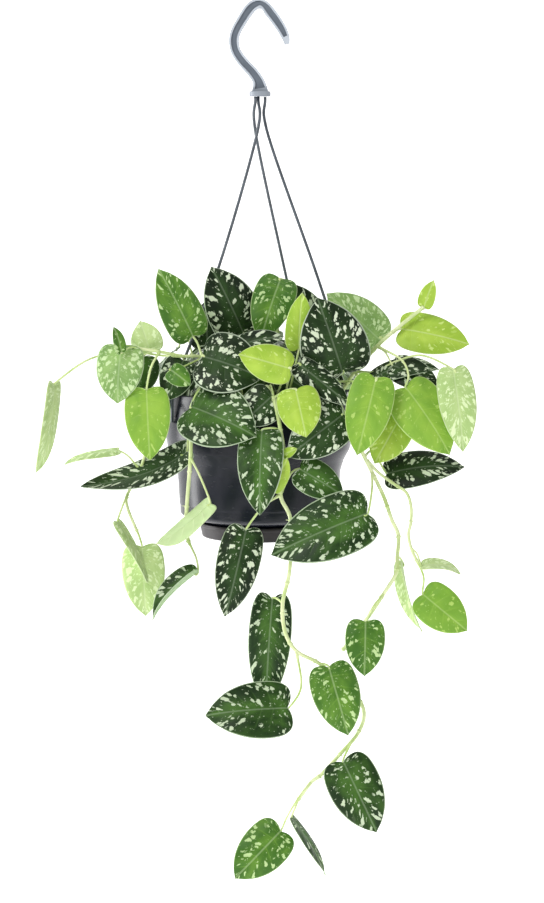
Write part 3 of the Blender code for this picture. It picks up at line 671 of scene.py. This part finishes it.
stalkForm = dict(radius=1.15, thinnest=0.55, sides=10, steps=7, sag=0.12, fade=0.18,
                 footSwell=0.55, footReach=0.07, neckSwell=0.35, neckAt=0.86, neckReach=0.05)


def between(values, t):
    # a Catmull-Rom value through evenly spaced values at t from 0 to 1
    place = t * (len(values) - 1)
    first = min(int(place), len(values) - 2)
    f = place - first
    a = values[max(first - 1, 0)]
    b = values[first]
    c = values[first + 1]
    d = values[min(first + 2, len(values) - 1)]
    bend = (2 * a - 5 * b + 4 * c - d) * f ** 2 + (3 * b - a - 3 * c + d) * f ** 3
    return 0.5 * (2 * b + (c - a) * f + bend)


def bladeAxes(base, tip, facing):
    along = (tip - base).normalized()
    up = Vector(facing)
    up = (up - along * up.dot(along)).normalized()
    return along, up.cross(along), up


def bladePoint(form, leaf, t, across):
    # mm from the base: along, sideways and up; t runs along the feet of the side veins
    out = abs(across)
    edgeX = between([point[0] for point in form["margin"]], t)
    edgeY = between([point[1] for point in form["margin"]], t)
    ribX = between(form["midrib"], t)
    x = ribX + (edgeX - ribX) * out ** form["veinCurve"]
    y = edgeY * out * leaf["half"]
    hand = 1 if across > 0 else -1
    soft = form["foldRadius"]
    fold = math.tan(math.radians(leaf["fold"])) * (math.hypot(y, soft) - soft)
    droop = leaf["cup"] * y * y / leaf["half"]
    bow = 1 - (2 * x - 1) ** 2
    curl = leaf["curl"] * leaf["length"] * max(0, x - form["curlFrom"]) ** 2 * 4
    wave = leaf["wave"] * out ** 2 * math.sin(t * form["waves"] + leaf["phase"] + hand * 1.3)
    pitch = 2 * math.pi * t * leaf["length"] / form["veinSpacing"]
    quilt = form["quilting"] * out * (1 - out) * 4 * math.cos(pitch)
    rise = fold - droop + leaf["arch"] * leaf["length"] * bow - curl + wave + quilt
    side = hand * y + leaf["bend"] * leaf["length"] * bow
    return x * leaf["length"], side, rise


def bladeMesh(name, form, leaf, base, axes, seed, shade):
    along, side, up = axes
    shape = bmesh.new()
    bmesh.ops.create_grid(shape, x_segments=form["alongSteps"], y_segments=form["acrossSteps"], size=1)
    placeLayer = shape.verts.layers.float_vector.new("leafPlace")
    shapeLayer = shape.verts.layers.float_vector.new("leafShape")
    for vert in shape.verts:
        t = (vert.co.x + 1) / 2
        across = vert.co.y
        x, y, rise = bladePoint(form, leaf, t, across)
        vert[placeLayer] = (t * leaf["length"], y, seed)
        vert[shapeLayer] = (t, abs(across), shade)
        vert.co = (base + along * x + side * y + up * rise) * mm
    bmesh.ops.remove_doubles(shape, verts=shape.verts, dist=0.00001)
    for face in shape.faces:
        face.smooth = True
    data = bpy.data.meshes.new(name)
    shape.to_mesh(data)
    shape.free()
    return data


def buildLeaf(name, row):
    base, tip, width, facing, fold, arch, bend, tone = row[3:]
    form = bladeForm
    draw = random.Random(name)
    base = Vector(base)
    tip = Vector(tip)
    axes = bladeAxes(base, tip, facing)
    leaf = dict(
        length=(tip - base).length, half=width / 2, fold=fold, arch=arch, bend=bend,
        cup=draw.uniform(0.16, 0.40), curl=draw.uniform(0.0, 0.07),
        wave=width * draw.uniform(0.012, 0.04), phase=draw.uniform(0, 6.28))
    seed = draw.uniform(0, 900)
    shade = draw.uniform(-0.12, 0.16)
    data = bladeMesh(name, form, leaf, base, axes, seed, shade)
    for finish in (toneFinish[tone], toneUnder[tone], stalkFinish):
        data.materials.append(finish)
    blade = link(bpy.data.objects.new(name + "Blade", data))
    thick = blade.modifiers.new("thickness", "SOLIDIFY")
    thick.thickness = form["thickness"] * mm
    thick.offset = -1
    thick.material_offset = 1
    thick.use_rim = True
    blade = finished(blade, name)
    shape = bmesh.new()
    shape.from_mesh(blade.data)
    addStalk(shape, leaf, row, base, axes)
    addRib(shape, form, leaf, base, axes)
    shape.to_mesh(blade.data)
    shape.free()
    return blade


def addStalk(shape, leaf, row, base, axes):
    # from the soil or a vine, through its own points, to just inside the blade
    vine, node, middle = row[:3]
    along, _, up = axes
    form = stalkForm
    start = Vector((*node, soilTopZ / mm)) if vine == "soil" else Vector(vineRoutes[vine][node])
    foot = base + up * (bladePoint(bladeForm, leaf, 0.0, 0.0)[2] - 0.4)
    under = bladePoint(bladeForm, leaf, 0.16, 0.0)[2] - 0.9
    into = base + along * (0.05 * leaf["length"]) + up * under
    points = [start, *[Vector(point) for point in middle]]
    if not middle:
        knee = (start + base) / 2
        knee.z += form["sag"] * (start - base).length
        points.append(knee)
    points += [foot - along * 1.2 - up * 0.4, into]
    route = [point * mm for point in smoothRoute(points, form["steps"])]
    last = len(route) - 1
    thin = min(1, form["thinnest"] + leaf["length"] / 140)
    radii = []
    for index in range(last + 1):
        t = index / last
        swell = form["neckSwell"] * math.exp(-((t - form["neckAt"]) / form["neckReach"]) ** 2)
        swell += form["footSwell"] * math.exp(-(t / form["footReach"]) ** 2)
        radii.append(form["radius"] * mm * thin * (0.92 + swell - form["fade"] * t))
    radii[-1] *= 0.5
    sweep(shape, route, radii, form["sides"], 2)


def addRib(shape, form, leaf, base, axes):
    # the midrib stands out along the underside and fades towards the tip
    along, side, up = axes
    points = []
    radii = []
    for step in range(form["ribSteps"] + 1):
        t = 0.05 + 0.82 * step / form["ribSteps"]
        x, y, rise = bladePoint(form, leaf, t, 0.0)
        points.append((base + along * x + side * y + up * (rise - form["thickness"] - 0.05)) * mm)
        radii.append(form["ribRadius"] * mm * (1.05 - t) * min(1, leaf["half"] / 16))
    sweep(shape, points, radii, form["ribSides"], 1)


allLeaves = {**leafPlan, **smallLeaves, **fillingLeaves(crownFill)}
toneSlot = {"night": "leaf_dark", "forest": "leaf_dark", "fresh": "leaf_mid", "speckled": "leaf_mid",
            "apple": "leaf_lime", "lime": "leaf_lime", "frost": "leaf_pale"}
for name, row in allLeaves.items():
    piece = buildLeaf(name, row)
    if name in frame["nodes"]:
        settle(piece, slotOf[name], name)
        piece.name = name + "_grown"
    else:
        settle(piece, toneSlot[row[-1]])
print("leaves grown:", len(allLeaves))


# vines: a stem along its route, with joints and short aerial roots spread over it

def newTree(name, inputs):
    tree = bpy.data.node_groups.new(name, "GeometryNodeTree")
    tree.interface.new_socket("Geometry", in_out="INPUT", socket_type="NodeSocketGeometry")
    sockets = {}
    for label, kind, value in inputs:
        socket = tree.interface.new_socket(label, in_out="INPUT", socket_type=kind)
        if value is not None:
            socket.default_value = value
        sockets[label] = socket.identifier
    tree.interface.new_socket("Geometry", in_out="OUTPUT", socket_type="NodeSocketGeometry")
    return tree, tree.nodes.new("NodeGroupInput"), tree.nodes.new("NodeGroupOutput"), sockets


def addNode(tree, kind, values=None, **settings):
    made = tree.nodes.new(kind)
    for name, value in settings.items():
        setattr(made, name, value)
    for label, value in (values or {}).items():
        target = made.inputs[label]
        if isinstance(value, bpy.types.NodeSocket):
            tree.links.new(value, target)
        else:
            target.default_value = value
    return made


vineForm = dict(radius=1.7, thinShare=0.8, jointSpacing=27.0, jointSwell=1.32, jointFlat=0.75,
                rootLength=4.5, rootTip=0.2, rootFoot=0.6, sides=12)


def randomVector(tree, seed, low, high):
    # a random vector between the two corners
    made = addNode(tree, "FunctionNodeRandomValue", {"Seed": seed}, data_type="FLOAT_VECTOR")
    made.inputs[0].default_value = low
    made.inputs[1].default_value = high
    return made.outputs[0]


def vineTree(form):
    tree, entry, out, sockets = newTree("vineTree", [
        ("Radius", "NodeSocketFloat", 0.0017), ("Joint Spacing", "NodeSocketFloat", 0.026),
        ("Root Length", "NodeSocketFloat", 0.004), ("Seed", "NodeSocketInt", 3),
        ("Finish", "NodeSocketMaterial", None)])
    radius = entry.outputs["Radius"]
    profile = addNode(tree, "GeometryNodeCurvePrimitiveCircle", {
        "Resolution": form["sides"], "Radius": radius})
    stem = addNode(tree, "GeometryNodeCurveToMesh", {
        "Curve": entry.outputs["Geometry"], "Profile Curve": profile.outputs[0], "Fill Caps": True})
    spaced = addNode(tree, "GeometryNodeCurveToPoints", {
        "Curve": entry.outputs["Geometry"], "Length": entry.outputs["Joint Spacing"]}, mode="LENGTH")
    # a joint is a short barrel round the stem
    wide = addNode(tree, "ShaderNodeMath", operation="MULTIPLY")
    tree.links.new(radius, wide.inputs[0])
    wide.inputs[1].default_value = form["jointSwell"]
    barrel = addNode(tree, "GeometryNodeMeshUVSphere", {
        "Segments": form["sides"], "Rings": 6, "Radius": wide.outputs[0]})
    joints = addNode(tree, "GeometryNodeInstanceOnPoints", {
        "Points": spaced.outputs["Points"], "Instance": barrel.outputs["Mesh"],
        "Rotation": spaced.outputs["Rotation"], "Scale": (1.0, 1.0, form["jointFlat"])})
    # aerial roots are small cones that stand off the joints
    peg = addNode(tree, "GeometryNodeMeshCone", {
        "Vertices": 6, "Side Segments": 1, "Radius Top": form["rootTip"] * mm,
        "Radius Bottom": form["rootFoot"] * mm, "Depth": entry.outputs["Root Length"]})
    pegs = addNode(tree, "GeometryNodeInstanceOnPoints", {
        "Points": spaced.outputs["Points"], "Instance": peg.outputs["Mesh"],
        "Rotation": randomVector(tree, entry.outputs["Seed"], (1.2, -0.5, 0.0), (1.9, 0.5, 6.28))})
    joined = addNode(tree, "GeometryNodeJoinGeometry")
    for part in (pegs, joints, stem):
        tree.links.new(part.outputs[0], joined.inputs[0])
    real = addNode(tree, "GeometryNodeRealizeInstances", {"Geometry": joined.outputs[0]})
    smooth = addNode(tree, "GeometryNodeSetShadeSmooth", {"Geometry": real.outputs[0]})
    painted = addNode(tree, "GeometryNodeSetMaterial", {
        "Geometry": smooth.outputs[0], "Material": entry.outputs["Finish"]})
    tree.links.new(painted.outputs[0], out.inputs[0])
    return tree, sockets


def routeCurve(name, points, steps):
    data = bpy.data.curves.new(name, "CURVE")
    data.dimensions = "3D"
    route = smoothRoute(inMetres(points), steps)
    spline = data.splines.new("POLY")
    spline.points.add(len(route) - 1)
    for index, (point, place) in enumerate(zip(spline.points, route)):
        point.co = (*place, 1)
        point.radius = 1.0 - 0.3 * index / (len(route) - 1)
    return link(bpy.data.objects.new(name, data))


def grow(item, tree, values, name):
    step = item.modifiers.new("grow", "NODES")
    step.node_group = tree
    for identifier, value in values.items():
        step[identifier] = value
    return finished(item, name)


vines, vineInputs = vineTree(vineForm)
for index, (name, route) in enumerate(vineRoutes.items()):
    thin = vineForm["thinShare"] if name in ("left_shoot", "right_branch", "left_vine") else 1.0
    piece = grow(routeCurve(name + "Route", route, 7), vines, {
        vineInputs["Radius"]: vineForm["radius"] * thin * mm,
        vineInputs["Joint Spacing"]: vineForm["jointSpacing"] * mm,
        vineInputs["Root Length"]: vineForm["rootLength"] * mm,
        vineInputs["Seed"]: index + 3,
        vineInputs["Finish"]: stemFinish,
    }, name + "_grown")
    settle(piece, "stem", name)
print("vines grown:", len(vineRoutes))


# strands: a moulded rib from the collar down to a clip over the rim

def hangerMaterial(name, rimFrom):
    # slate plastic; on the hook, a painted highlight on the rims that stand beyond its recessed web, with
    # the web kept darker as painted shade
    finish, tree, shader = newMaterial(name)
    coords = put(tree, "TexCoord").outputs["Object"]
    wear = noiseAt(tree, coords, 90.0, 4.0).outputs[0]
    grain = noiseAt(tree, coords, 900.0, 2.0).outputs[0]
    slate = (0.040, 0.050, 0.064, 1)
    worn = (0.075, 0.090, 0.110, 1)
    colour = blendColours(tree, ramp(tree, wear, 0.35, 0.7), slate, worn)
    if rimFrom:
        _, aside, height = parts(tree, coords)
        # painted highlight: the rims at the sides are painted pale, weaker at the foot of the neck
        outer = ramp(tree, maths(tree, "ABSOLUTE", aside), rimFrom * mm, (rimFrom + 0.5) * mm)
        # painted shade: the recessed web between the rims is kept darker than the rims
        shadedWeb = blendColours(tree, wear, (0.085, 0.105, 0.135, 1), (0.135, 0.160, 0.195, 1))
        neck = ramp(tree, height, (hookFootZ + 0.006), (hookFootZ + 0.010), 0.35, 0.9)
        colour = blendColours(tree, maths(tree, "MULTIPLY", outer, neck), shadedWeb, (0.46, 0.50, 0.56, 1))
    tree.links.new(colour, shader.inputs["Base Color"])
    tree.links.new(maths(tree, "MULTIPLY_ADD", wear, 0.25, 0.30), shader.inputs["Roughness"])
    bumpFrom(tree, shader, grain, 0.15, 0.0002)
    return finish


strandFinish = hangerMaterial("strandPlastic", 0)
# the hook's plastic carries a painted highlight on its rims and painted shade in its web
hookPaintedLightFinish = hangerMaterial("hookPlasticPaintedLight", 2.5)
# Each strand's start under the collar, the points it passes, and its clip's angle round the rim
strandPlan = {
    "strand_left": dict(start=(-0.5, 2.0), middle=[(-2, -14, -112), (-37, -20, -232)], clipAngle=205),
    "strand_right": dict(start=(5.5, -1.5), middle=[(8.5, -2, -112), (52, -2, -236)], clipAngle=-4),
    "strand_back": dict(start=(-3, -3.5), middle=[(-2.4, 5, -112), (24, 42, -236)], clipAngle=57),
}
strandForm = dict(radius=1.35, clipReach=85.4, clipTop=-338.6, clipDrop=12, collarZ=-77.6)


def addStrandSleeve(piece, plan, form):
    # the strand drawn again, round and smooth, down to its clip
    turn = math.radians(plan["clipAngle"])
    reach = form["clipReach"]
    clip = Vector((math.cos(turn) * reach, math.sin(turn) * reach, form["clipTop"]))
    start = (*plan["start"], form["collarZ"])
    foot = clip - Vector((0, 0, form["clipDrop"]))
    route = smoothRoute(inMetres([start, *plan["middle"], clip, foot]), 12)
    shape = bmesh.new()
    shape.from_mesh(piece.data)
    sweep(shape, route, [form["radius"] * mm] * len(route), 14, 0)
    shape.to_mesh(piece.data)
    shape.free()


def copyOfNode(name, label):
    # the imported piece's own faces as a new mesh, at the origin
    original = next(item for item in bpy.context.scene.objects if item.name == name)
    data = original.data.copy()
    data.transform(original.matrix_world)
    data.name = label
    data.materials.clear()
    return link(bpy.data.objects.new(label, data))


for name, plan in strandPlan.items():
    piece = copyOfNode(name, name + "_fine")
    soften = piece.modifiers.new("soften", "BEVEL")
    soften.width = 0.25 * mm
    soften.segments = 2
    soften.angle_limit = math.radians(40)
    piece = finished(piece, name + "_fine")
    piece.data.materials.append(strandFinish)
    addStrandSleeve(piece, plan, strandForm)
    piece.data.shade_smooth()
    settle(piece, slotOf[name], name)

# The hook's middle line and half width at each point, from its tip over the crown to the collar, in mm
hookForm = dict(
    line=[(25.2, -31, 2.2), (23.6, -24.5, 3.6), (19, -15.5, 4.3), (11, -4.4, 4.6), (4.5, 2.7, 4.5),
          (-1.5, 3.9, 4.6), (-8, -0.3, 4.7), (-15.5, -11.5, 4.5), (-20.4, -20.5, 4.4), (-22, -28.5, 4.4),
          (-20.2, -37.5, 4.4), (-14.2, -46.5, 4.5), (-6.2, -55, 4.6), (-0.6, -63, 5), (1, -70, 6.6)],
    beadRadius=1.0, beadOut=3.45)


def hookEdge(form, hand):
    # one edge of the hook's plate, kept above the flat seat
    line = form["line"]
    edge = []
    for index, (x, z, half) in enumerate(line):
        before = line[max(index - 1, 0)]
        after = line[min(index + 1, len(line) - 1)]
        way = Vector((after[0] - before[0], after[1] - before[1])).normalized()
        reach = (half - form["beadRadius"]) * hand
        edgeX = x - way.y * reach
        edgeZ = z + way.x * reach
        if abs(edgeX) < 5 and edgeZ > -8:
            edgeZ = max(edgeZ, form["beadRadius"])
        edge.append((edgeX, edgeZ))
    return edge


def addHookRims(piece, form):
    # rounded rims along both edges of both faces
    shape = bmesh.new()
    shape.from_mesh(piece.data)
    for face in (-1, 1):
        for hand in (-1, 1):
            points = [(x, face * form["beadOut"], z) for x, z in hookEdge(form, hand)]
            route = smoothRoute(inMetres(points), 6)
            sweep(shape, route, [form["beadRadius"] * mm] * len(route), 12, 0)
    shape.to_mesh(piece.data)
    shape.free()


hook = copyOfNode("hanger_hook", "hook_fine")
soften = hook.modifiers.new("soften", "BEVEL")
soften.width = 0.45 * mm
soften.segments = 3
soften.angle_limit = math.radians(35)
hook = finished(hook, "hook_fine")
hook.data.materials.append(hookPaintedLightFinish)
addHookRims(hook, hookForm)
settle(hook, slotOf["hanger_hook"], "hanger_hook")
print("hanger made")


# pot and saucer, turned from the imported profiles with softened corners

def potMaterial(name, deep, light, gloss):
    finish, tree, shader = newMaterial(name)
    coords = put(tree, "TexCoord").outputs["Object"]
    cloud = noiseAt(tree, coords, 16.0, 4.0).outputs[0]
    banded = vectorMaths(tree, "MULTIPLY", coords, (1.0, 1.0, 3.0))
    rubbed = noiseAt(tree, banded, 70.0, 5.0, 0.62).outputs[0]
    grain = noiseAt(tree, coords, 700.0, 2.0).outputs[0]
    colour = blendColours(tree, cloud, (*deep, 1), (*light, 1))
    dust = ramp(tree, rubbed, 0.58, 0.78)
    colour = blendColours(tree, maths(tree, "MULTIPLY", dust, 0.03), colour, (0.30, 0.29, 0.28, 1))
    tree.links.new(colour, shader.inputs["Base Color"])
    worn = maths(tree, "MULTIPLY_ADD", rubbed, 0.12, gloss - 0.06)
    tree.links.new(worn, shader.inputs["Roughness"])
    shader.inputs["Specular IOR Level"].default_value = 0.22
    bumpFrom(tree, shader, grain, 0.05, 0.0002)
    return finish


potFinish = potMaterial("potPlastic", (0.005, 0.006, 0.011), (0.010, 0.012, 0.021), 0.26)
saucerFinish = potMaterial("saucerPlastic", (0.014, 0.012, 0.014), (0.026, 0.022, 0.025), 0.42)

potProfile = [
    (77.8, -341), (78.4, -340.1), (79.2, -340), (80, -340.8), (82.6, -360), (82.2, -361.5), (83.8, -365),
    (83.8, -378), (82, -390), (76.6, -400), (73.4, -410), (72.4, -425), (71.6, -440.2), (71.1, -440.9),
    (70.9, -448.6), (67, -452), (50.4, -455.5), (50, -467.9), (0, -467.9)]
potInside = [
    (0, -452), (65, -449.5), (69.2, -446), (70.4, -425), (71.4, -410), (74.8, -400), (79.8, -390),
    (80.6, -364), (77.8, -341)]
saucerProfile = [
    (0, -470), (50.4, -470), (51.4, -469), (53, -460.4), (53.6, -460), (54, -457), (52.5, -457),
    (51.6, -460), (50.2, -468.2), (0, -468.2)]


def turnedPiece(name, slotName, profile, finish, cut):
    points = softened([(radius * mm, z * mm) for radius, z in profile], cut * mm)
    piece = turned(name + "_fine", points, 128)
    piece.data.materials.append(finish)
    shape = bmesh.new()
    shape.from_mesh(piece.data)
    bmesh.ops.recalc_face_normals(shape, faces=shape.faces)
    shape.to_mesh(piece.data)
    shape.free()
    settle(piece, slotName, name)
    return piece


turnedPiece("pot", slotOf["pot"], potInside + potProfile[1:], potFinish, 0.9)
turnedPiece("saucer", slotOf["saucer"], saucerProfile, saucerFinish, 0.4)
print("pot and saucer turned")


# soil: bark and perlite scattered over the imported top

def soilMaterial():
    finish, tree, shader = newMaterial("pottingSoil")
    coords = put(tree, "TexCoord").outputs["Object"]
    clump = noiseAt(tree, coords, 160.0, 5.0).outputs[0]
    colour = blendColours(tree, clump, (0.016, 0.009, 0.005, 1), (0.085, 0.052, 0.030, 1))
    tree.links.new(colour, shader.inputs["Base Color"])
    shader.inputs["Roughness"].default_value = 0.92
    bumpFrom(tree, shader, clump, 0.8, 0.001)
    return finish


def chipMaterial(name, dark, light):
    finish, tree, shader = newMaterial(name)
    coords = put(tree, "TexCoord").outputs["Object"]
    tint = noiseAt(tree, coords, 240.0, 3.0).outputs[0]
    tree.links.new(blendColours(tree, tint, (*dark, 1), (*light, 1)), shader.inputs["Base Color"])
    shader.inputs["Roughness"].default_value = 0.85
    return finish


soilFinish = soilMaterial()
barkFinish = chipMaterial("barkChip", (0.060, 0.030, 0.015), (0.19, 0.105, 0.055))
perliteFinish = chipMaterial("perlite", (0.60, 0.58, 0.53), (0.78, 0.76, 0.71))


def chipTree(name, flat):
    tree, entry, out, sockets = newTree(name, [
        ("Density", "NodeSocketFloat", 9000.0), ("Chip Size", "NodeSocketFloat", 0.002),
        ("Seed", "NodeSocketInt", 5), ("Finish", "NodeSocketMaterial", None)])
    seed = entry.outputs["Seed"]
    spread = addNode(tree, "GeometryNodeDistributePointsOnFaces", {
        "Mesh": entry.outputs["Geometry"], "Density": entry.outputs["Density"], "Seed": seed})
    chip = addNode(tree, "GeometryNodeMeshIcoSphere", {
        "Radius": entry.outputs["Chip Size"], "Subdivisions": 1})
    turn = randomVector(tree, seed, (0.0, 0.0, 0.0), (6.28, 6.28, 6.28))
    thinnest, thickest = (0.25, 0.5) if flat else (0.5, 1.1)
    stretch = randomVector(tree, seed, (0.5, 0.4, thinnest), (1.5, 1.1, thickest))
    chips = addNode(tree, "GeometryNodeInstanceOnPoints", {
        "Points": spread.outputs["Points"], "Instance": chip.outputs["Mesh"],
        "Rotation": turn, "Scale": stretch})
    real = addNode(tree, "GeometryNodeRealizeInstances", {"Geometry": chips.outputs[0]})
    painted = addNode(tree, "GeometryNodeSetMaterial", {
        "Geometry": real.outputs[0], "Material": entry.outputs["Finish"]})
    tree.links.new(painted.outputs[0], out.inputs[0])
    return tree, sockets


soilForm = dict(radius=77, rings=44, rise=2.0, drop=5.2)


def soilDisc(name):
    # a lumpy crumbly top, a little higher in the middle
    shape = bmesh.new()
    bmesh.ops.create_circle(shape, cap_ends=False, radius=soilForm["radius"] * mm, segments=96)
    edge = list(shape.verts)
    inner = edge
    for ring in range(1, soilForm["rings"]):
        scale = 1 - ring / soilForm["rings"]
        outer = inner
        inner = [shape.verts.new(vert.co * scale) for vert in edge]
        for index in range(96):
            after = (index + 1) % 96
            shape.faces.new((outer[index], outer[after], inner[after], inner[index]))
    middle = shape.verts.new((0, 0, 0))
    for index in range(96):
        shape.faces.new((inner[index], inner[(index + 1) % 96], middle))
    for vert in shape.verts:
        far = vert.co.length / (soilForm["radius"] * mm)
        lump = noise.noise(vert.co * 150) * 1.1 + noise.noise(vert.co * 420) * 0.5
        vert.co.z = soilTopZ + mm * (soilForm["rise"] * (1 - far * far) + lump - 0.4)
    bmesh.ops.recalc_face_normals(shape, faces=shape.faces)
    data = bpy.data.meshes.new(name)
    shape.to_mesh(data)
    shape.free()
    return link(bpy.data.objects.new(name, data))


soilTop = soilDisc("soilTop_fine")
soilTop.data.materials.append(soilFinish)
soilTop.data.shade_smooth()
settle(soilTop, slotOf["soil"], "soil")
barkTree, barkInputs = chipTree("barkScatter", True)
perliteTree, perliteInputs = chipTree("perliteScatter", False)
for label, tree, inputs, density, size, finish in (
        ("bark_chips", barkTree, barkInputs, 90000.0, 2.2, barkFinish),
        ("perlite_grains", perliteTree, perliteInputs, 16000.0, 1.5, perliteFinish)):
    chips = grow(soilDisc(label + "Base"), tree, {
        inputs["Density"]: density, inputs["Chip Size"]: size * mm,
        inputs["Seed"]: 7, inputs["Finish"]: finish,
    }, label)
    settle(chips, "soil")
print("soil scattered")


# stage, lights and camera

def plainFinish(name, colour, roughness):
    finish, _, shader = newMaterial(name)
    shader.inputs["Base Color"].default_value = (*colour, 1)
    shader.inputs["Roughness"].default_value = roughness
    return finish


stageForm = dict(halfWidth=10, near=-7, bendStart=5.5, bendRadius=2, top=8, below=0.30)


def sweepStage():
    # a wide floor that curves up into a backdrop, far enough off to walk round the plant
    form = stageForm
    floorZ = cadLow.z - form["below"]
    points = [(form["near"], floorZ), (form["bendStart"], floorZ)]
    for step in range(1, 17):
        angle = math.radians(90 * step / 16)
        points.append((form["bendStart"] + form["bendRadius"] * math.sin(angle),
                       floorZ + form["bendRadius"] * (1 - math.cos(angle))))
    points.append((form["bendStart"] + form["bendRadius"], form["top"]))
    wide = form["halfWidth"]
    shape = bmesh.new()
    rows = [(shape.verts.new((-wide, y, z)), shape.verts.new((wide, y, z))) for y, z in points]
    for low, high in zip(rows, rows[1:]):
        shape.faces.new((low[0], low[1], high[1], high[0])).smooth = True
    data = bpy.data.meshes.new("stageSweep")
    shape.to_mesh(data)
    shape.free()
    made = link(bpy.data.objects.new("stageSweep", data))
    paper = plainFinish("stagePaper", (0.93, 0.93, 0.93), 0.9)
    glow = paper.node_tree.nodes["Principled BSDF"]
    glow.inputs["Emission Color"].default_value = (1, 1, 1, 1)
    glow.inputs["Emission Strength"].default_value = 0.85
    data.materials.append(paper)


def areaLight(name, place, target, width, height, power, colour=(1, 1, 1)):
    data = bpy.data.lights.new(name, "AREA")
    data.shape = "RECTANGLE"
    data.size = width
    data.size_y = height
    data.energy = power
    data.color = colour
    made = link(bpy.data.objects.new(name, data))
    made.location = place
    made.rotation_euler = (Vector(target) - Vector(place)).to_track_quat("-Z", "Y").to_euler()
    return made


sweepStage()
areaLight("keyLight", (-1.1, -1.7, 0.9), (0, 0, -0.40), 1.0, 1.0, 32, (1.0, 0.99, 0.96))
areaLight("fillLight", (1.7, -1.2, 0.1), (0, 0, -0.42), 1.3, 1.3, 6)
areaLight("topLight", (0.0, 0.2, 1.3), (0, 0, -0.35), 1.5, 1.5, 12)
areaLight("leftStrip", (-1.3, 0.35, -0.35), (0, 0, -0.42), 0.35, 1.5, 19)

world = bpy.data.worlds.new("studioWorld")
world.use_nodes = True
backing = world.node_tree.nodes["Background"]
backing.inputs["Color"].default_value = (1.0, 1.0, 1.0, 1)
backing.inputs["Strength"].default_value = 0.34
bpy.context.scene.world = world

cameraPlan = dict(target=(0.0117, 0, -0.394), down=6, away=2.4, lens=106.3)
lens = bpy.data.cameras.new("sceneCamera")
lens.lens = cameraPlan["lens"]
lens.clip_end = 40
camera = link(bpy.data.objects.new("sceneCamera", lens))
slant = math.radians(cameraPlan["down"])
away = Vector((0, -math.cos(slant), math.sin(slant)))
camera.location = Vector(cameraPlan["target"]) + away * cameraPlan["away"]
camera.rotation_euler = (math.radians(90) - slant, 0, 0)
bpy.context.scene.camera = camera
bpy.context.scene.view_settings.view_transform = "Standard"
print("stage and camera set")
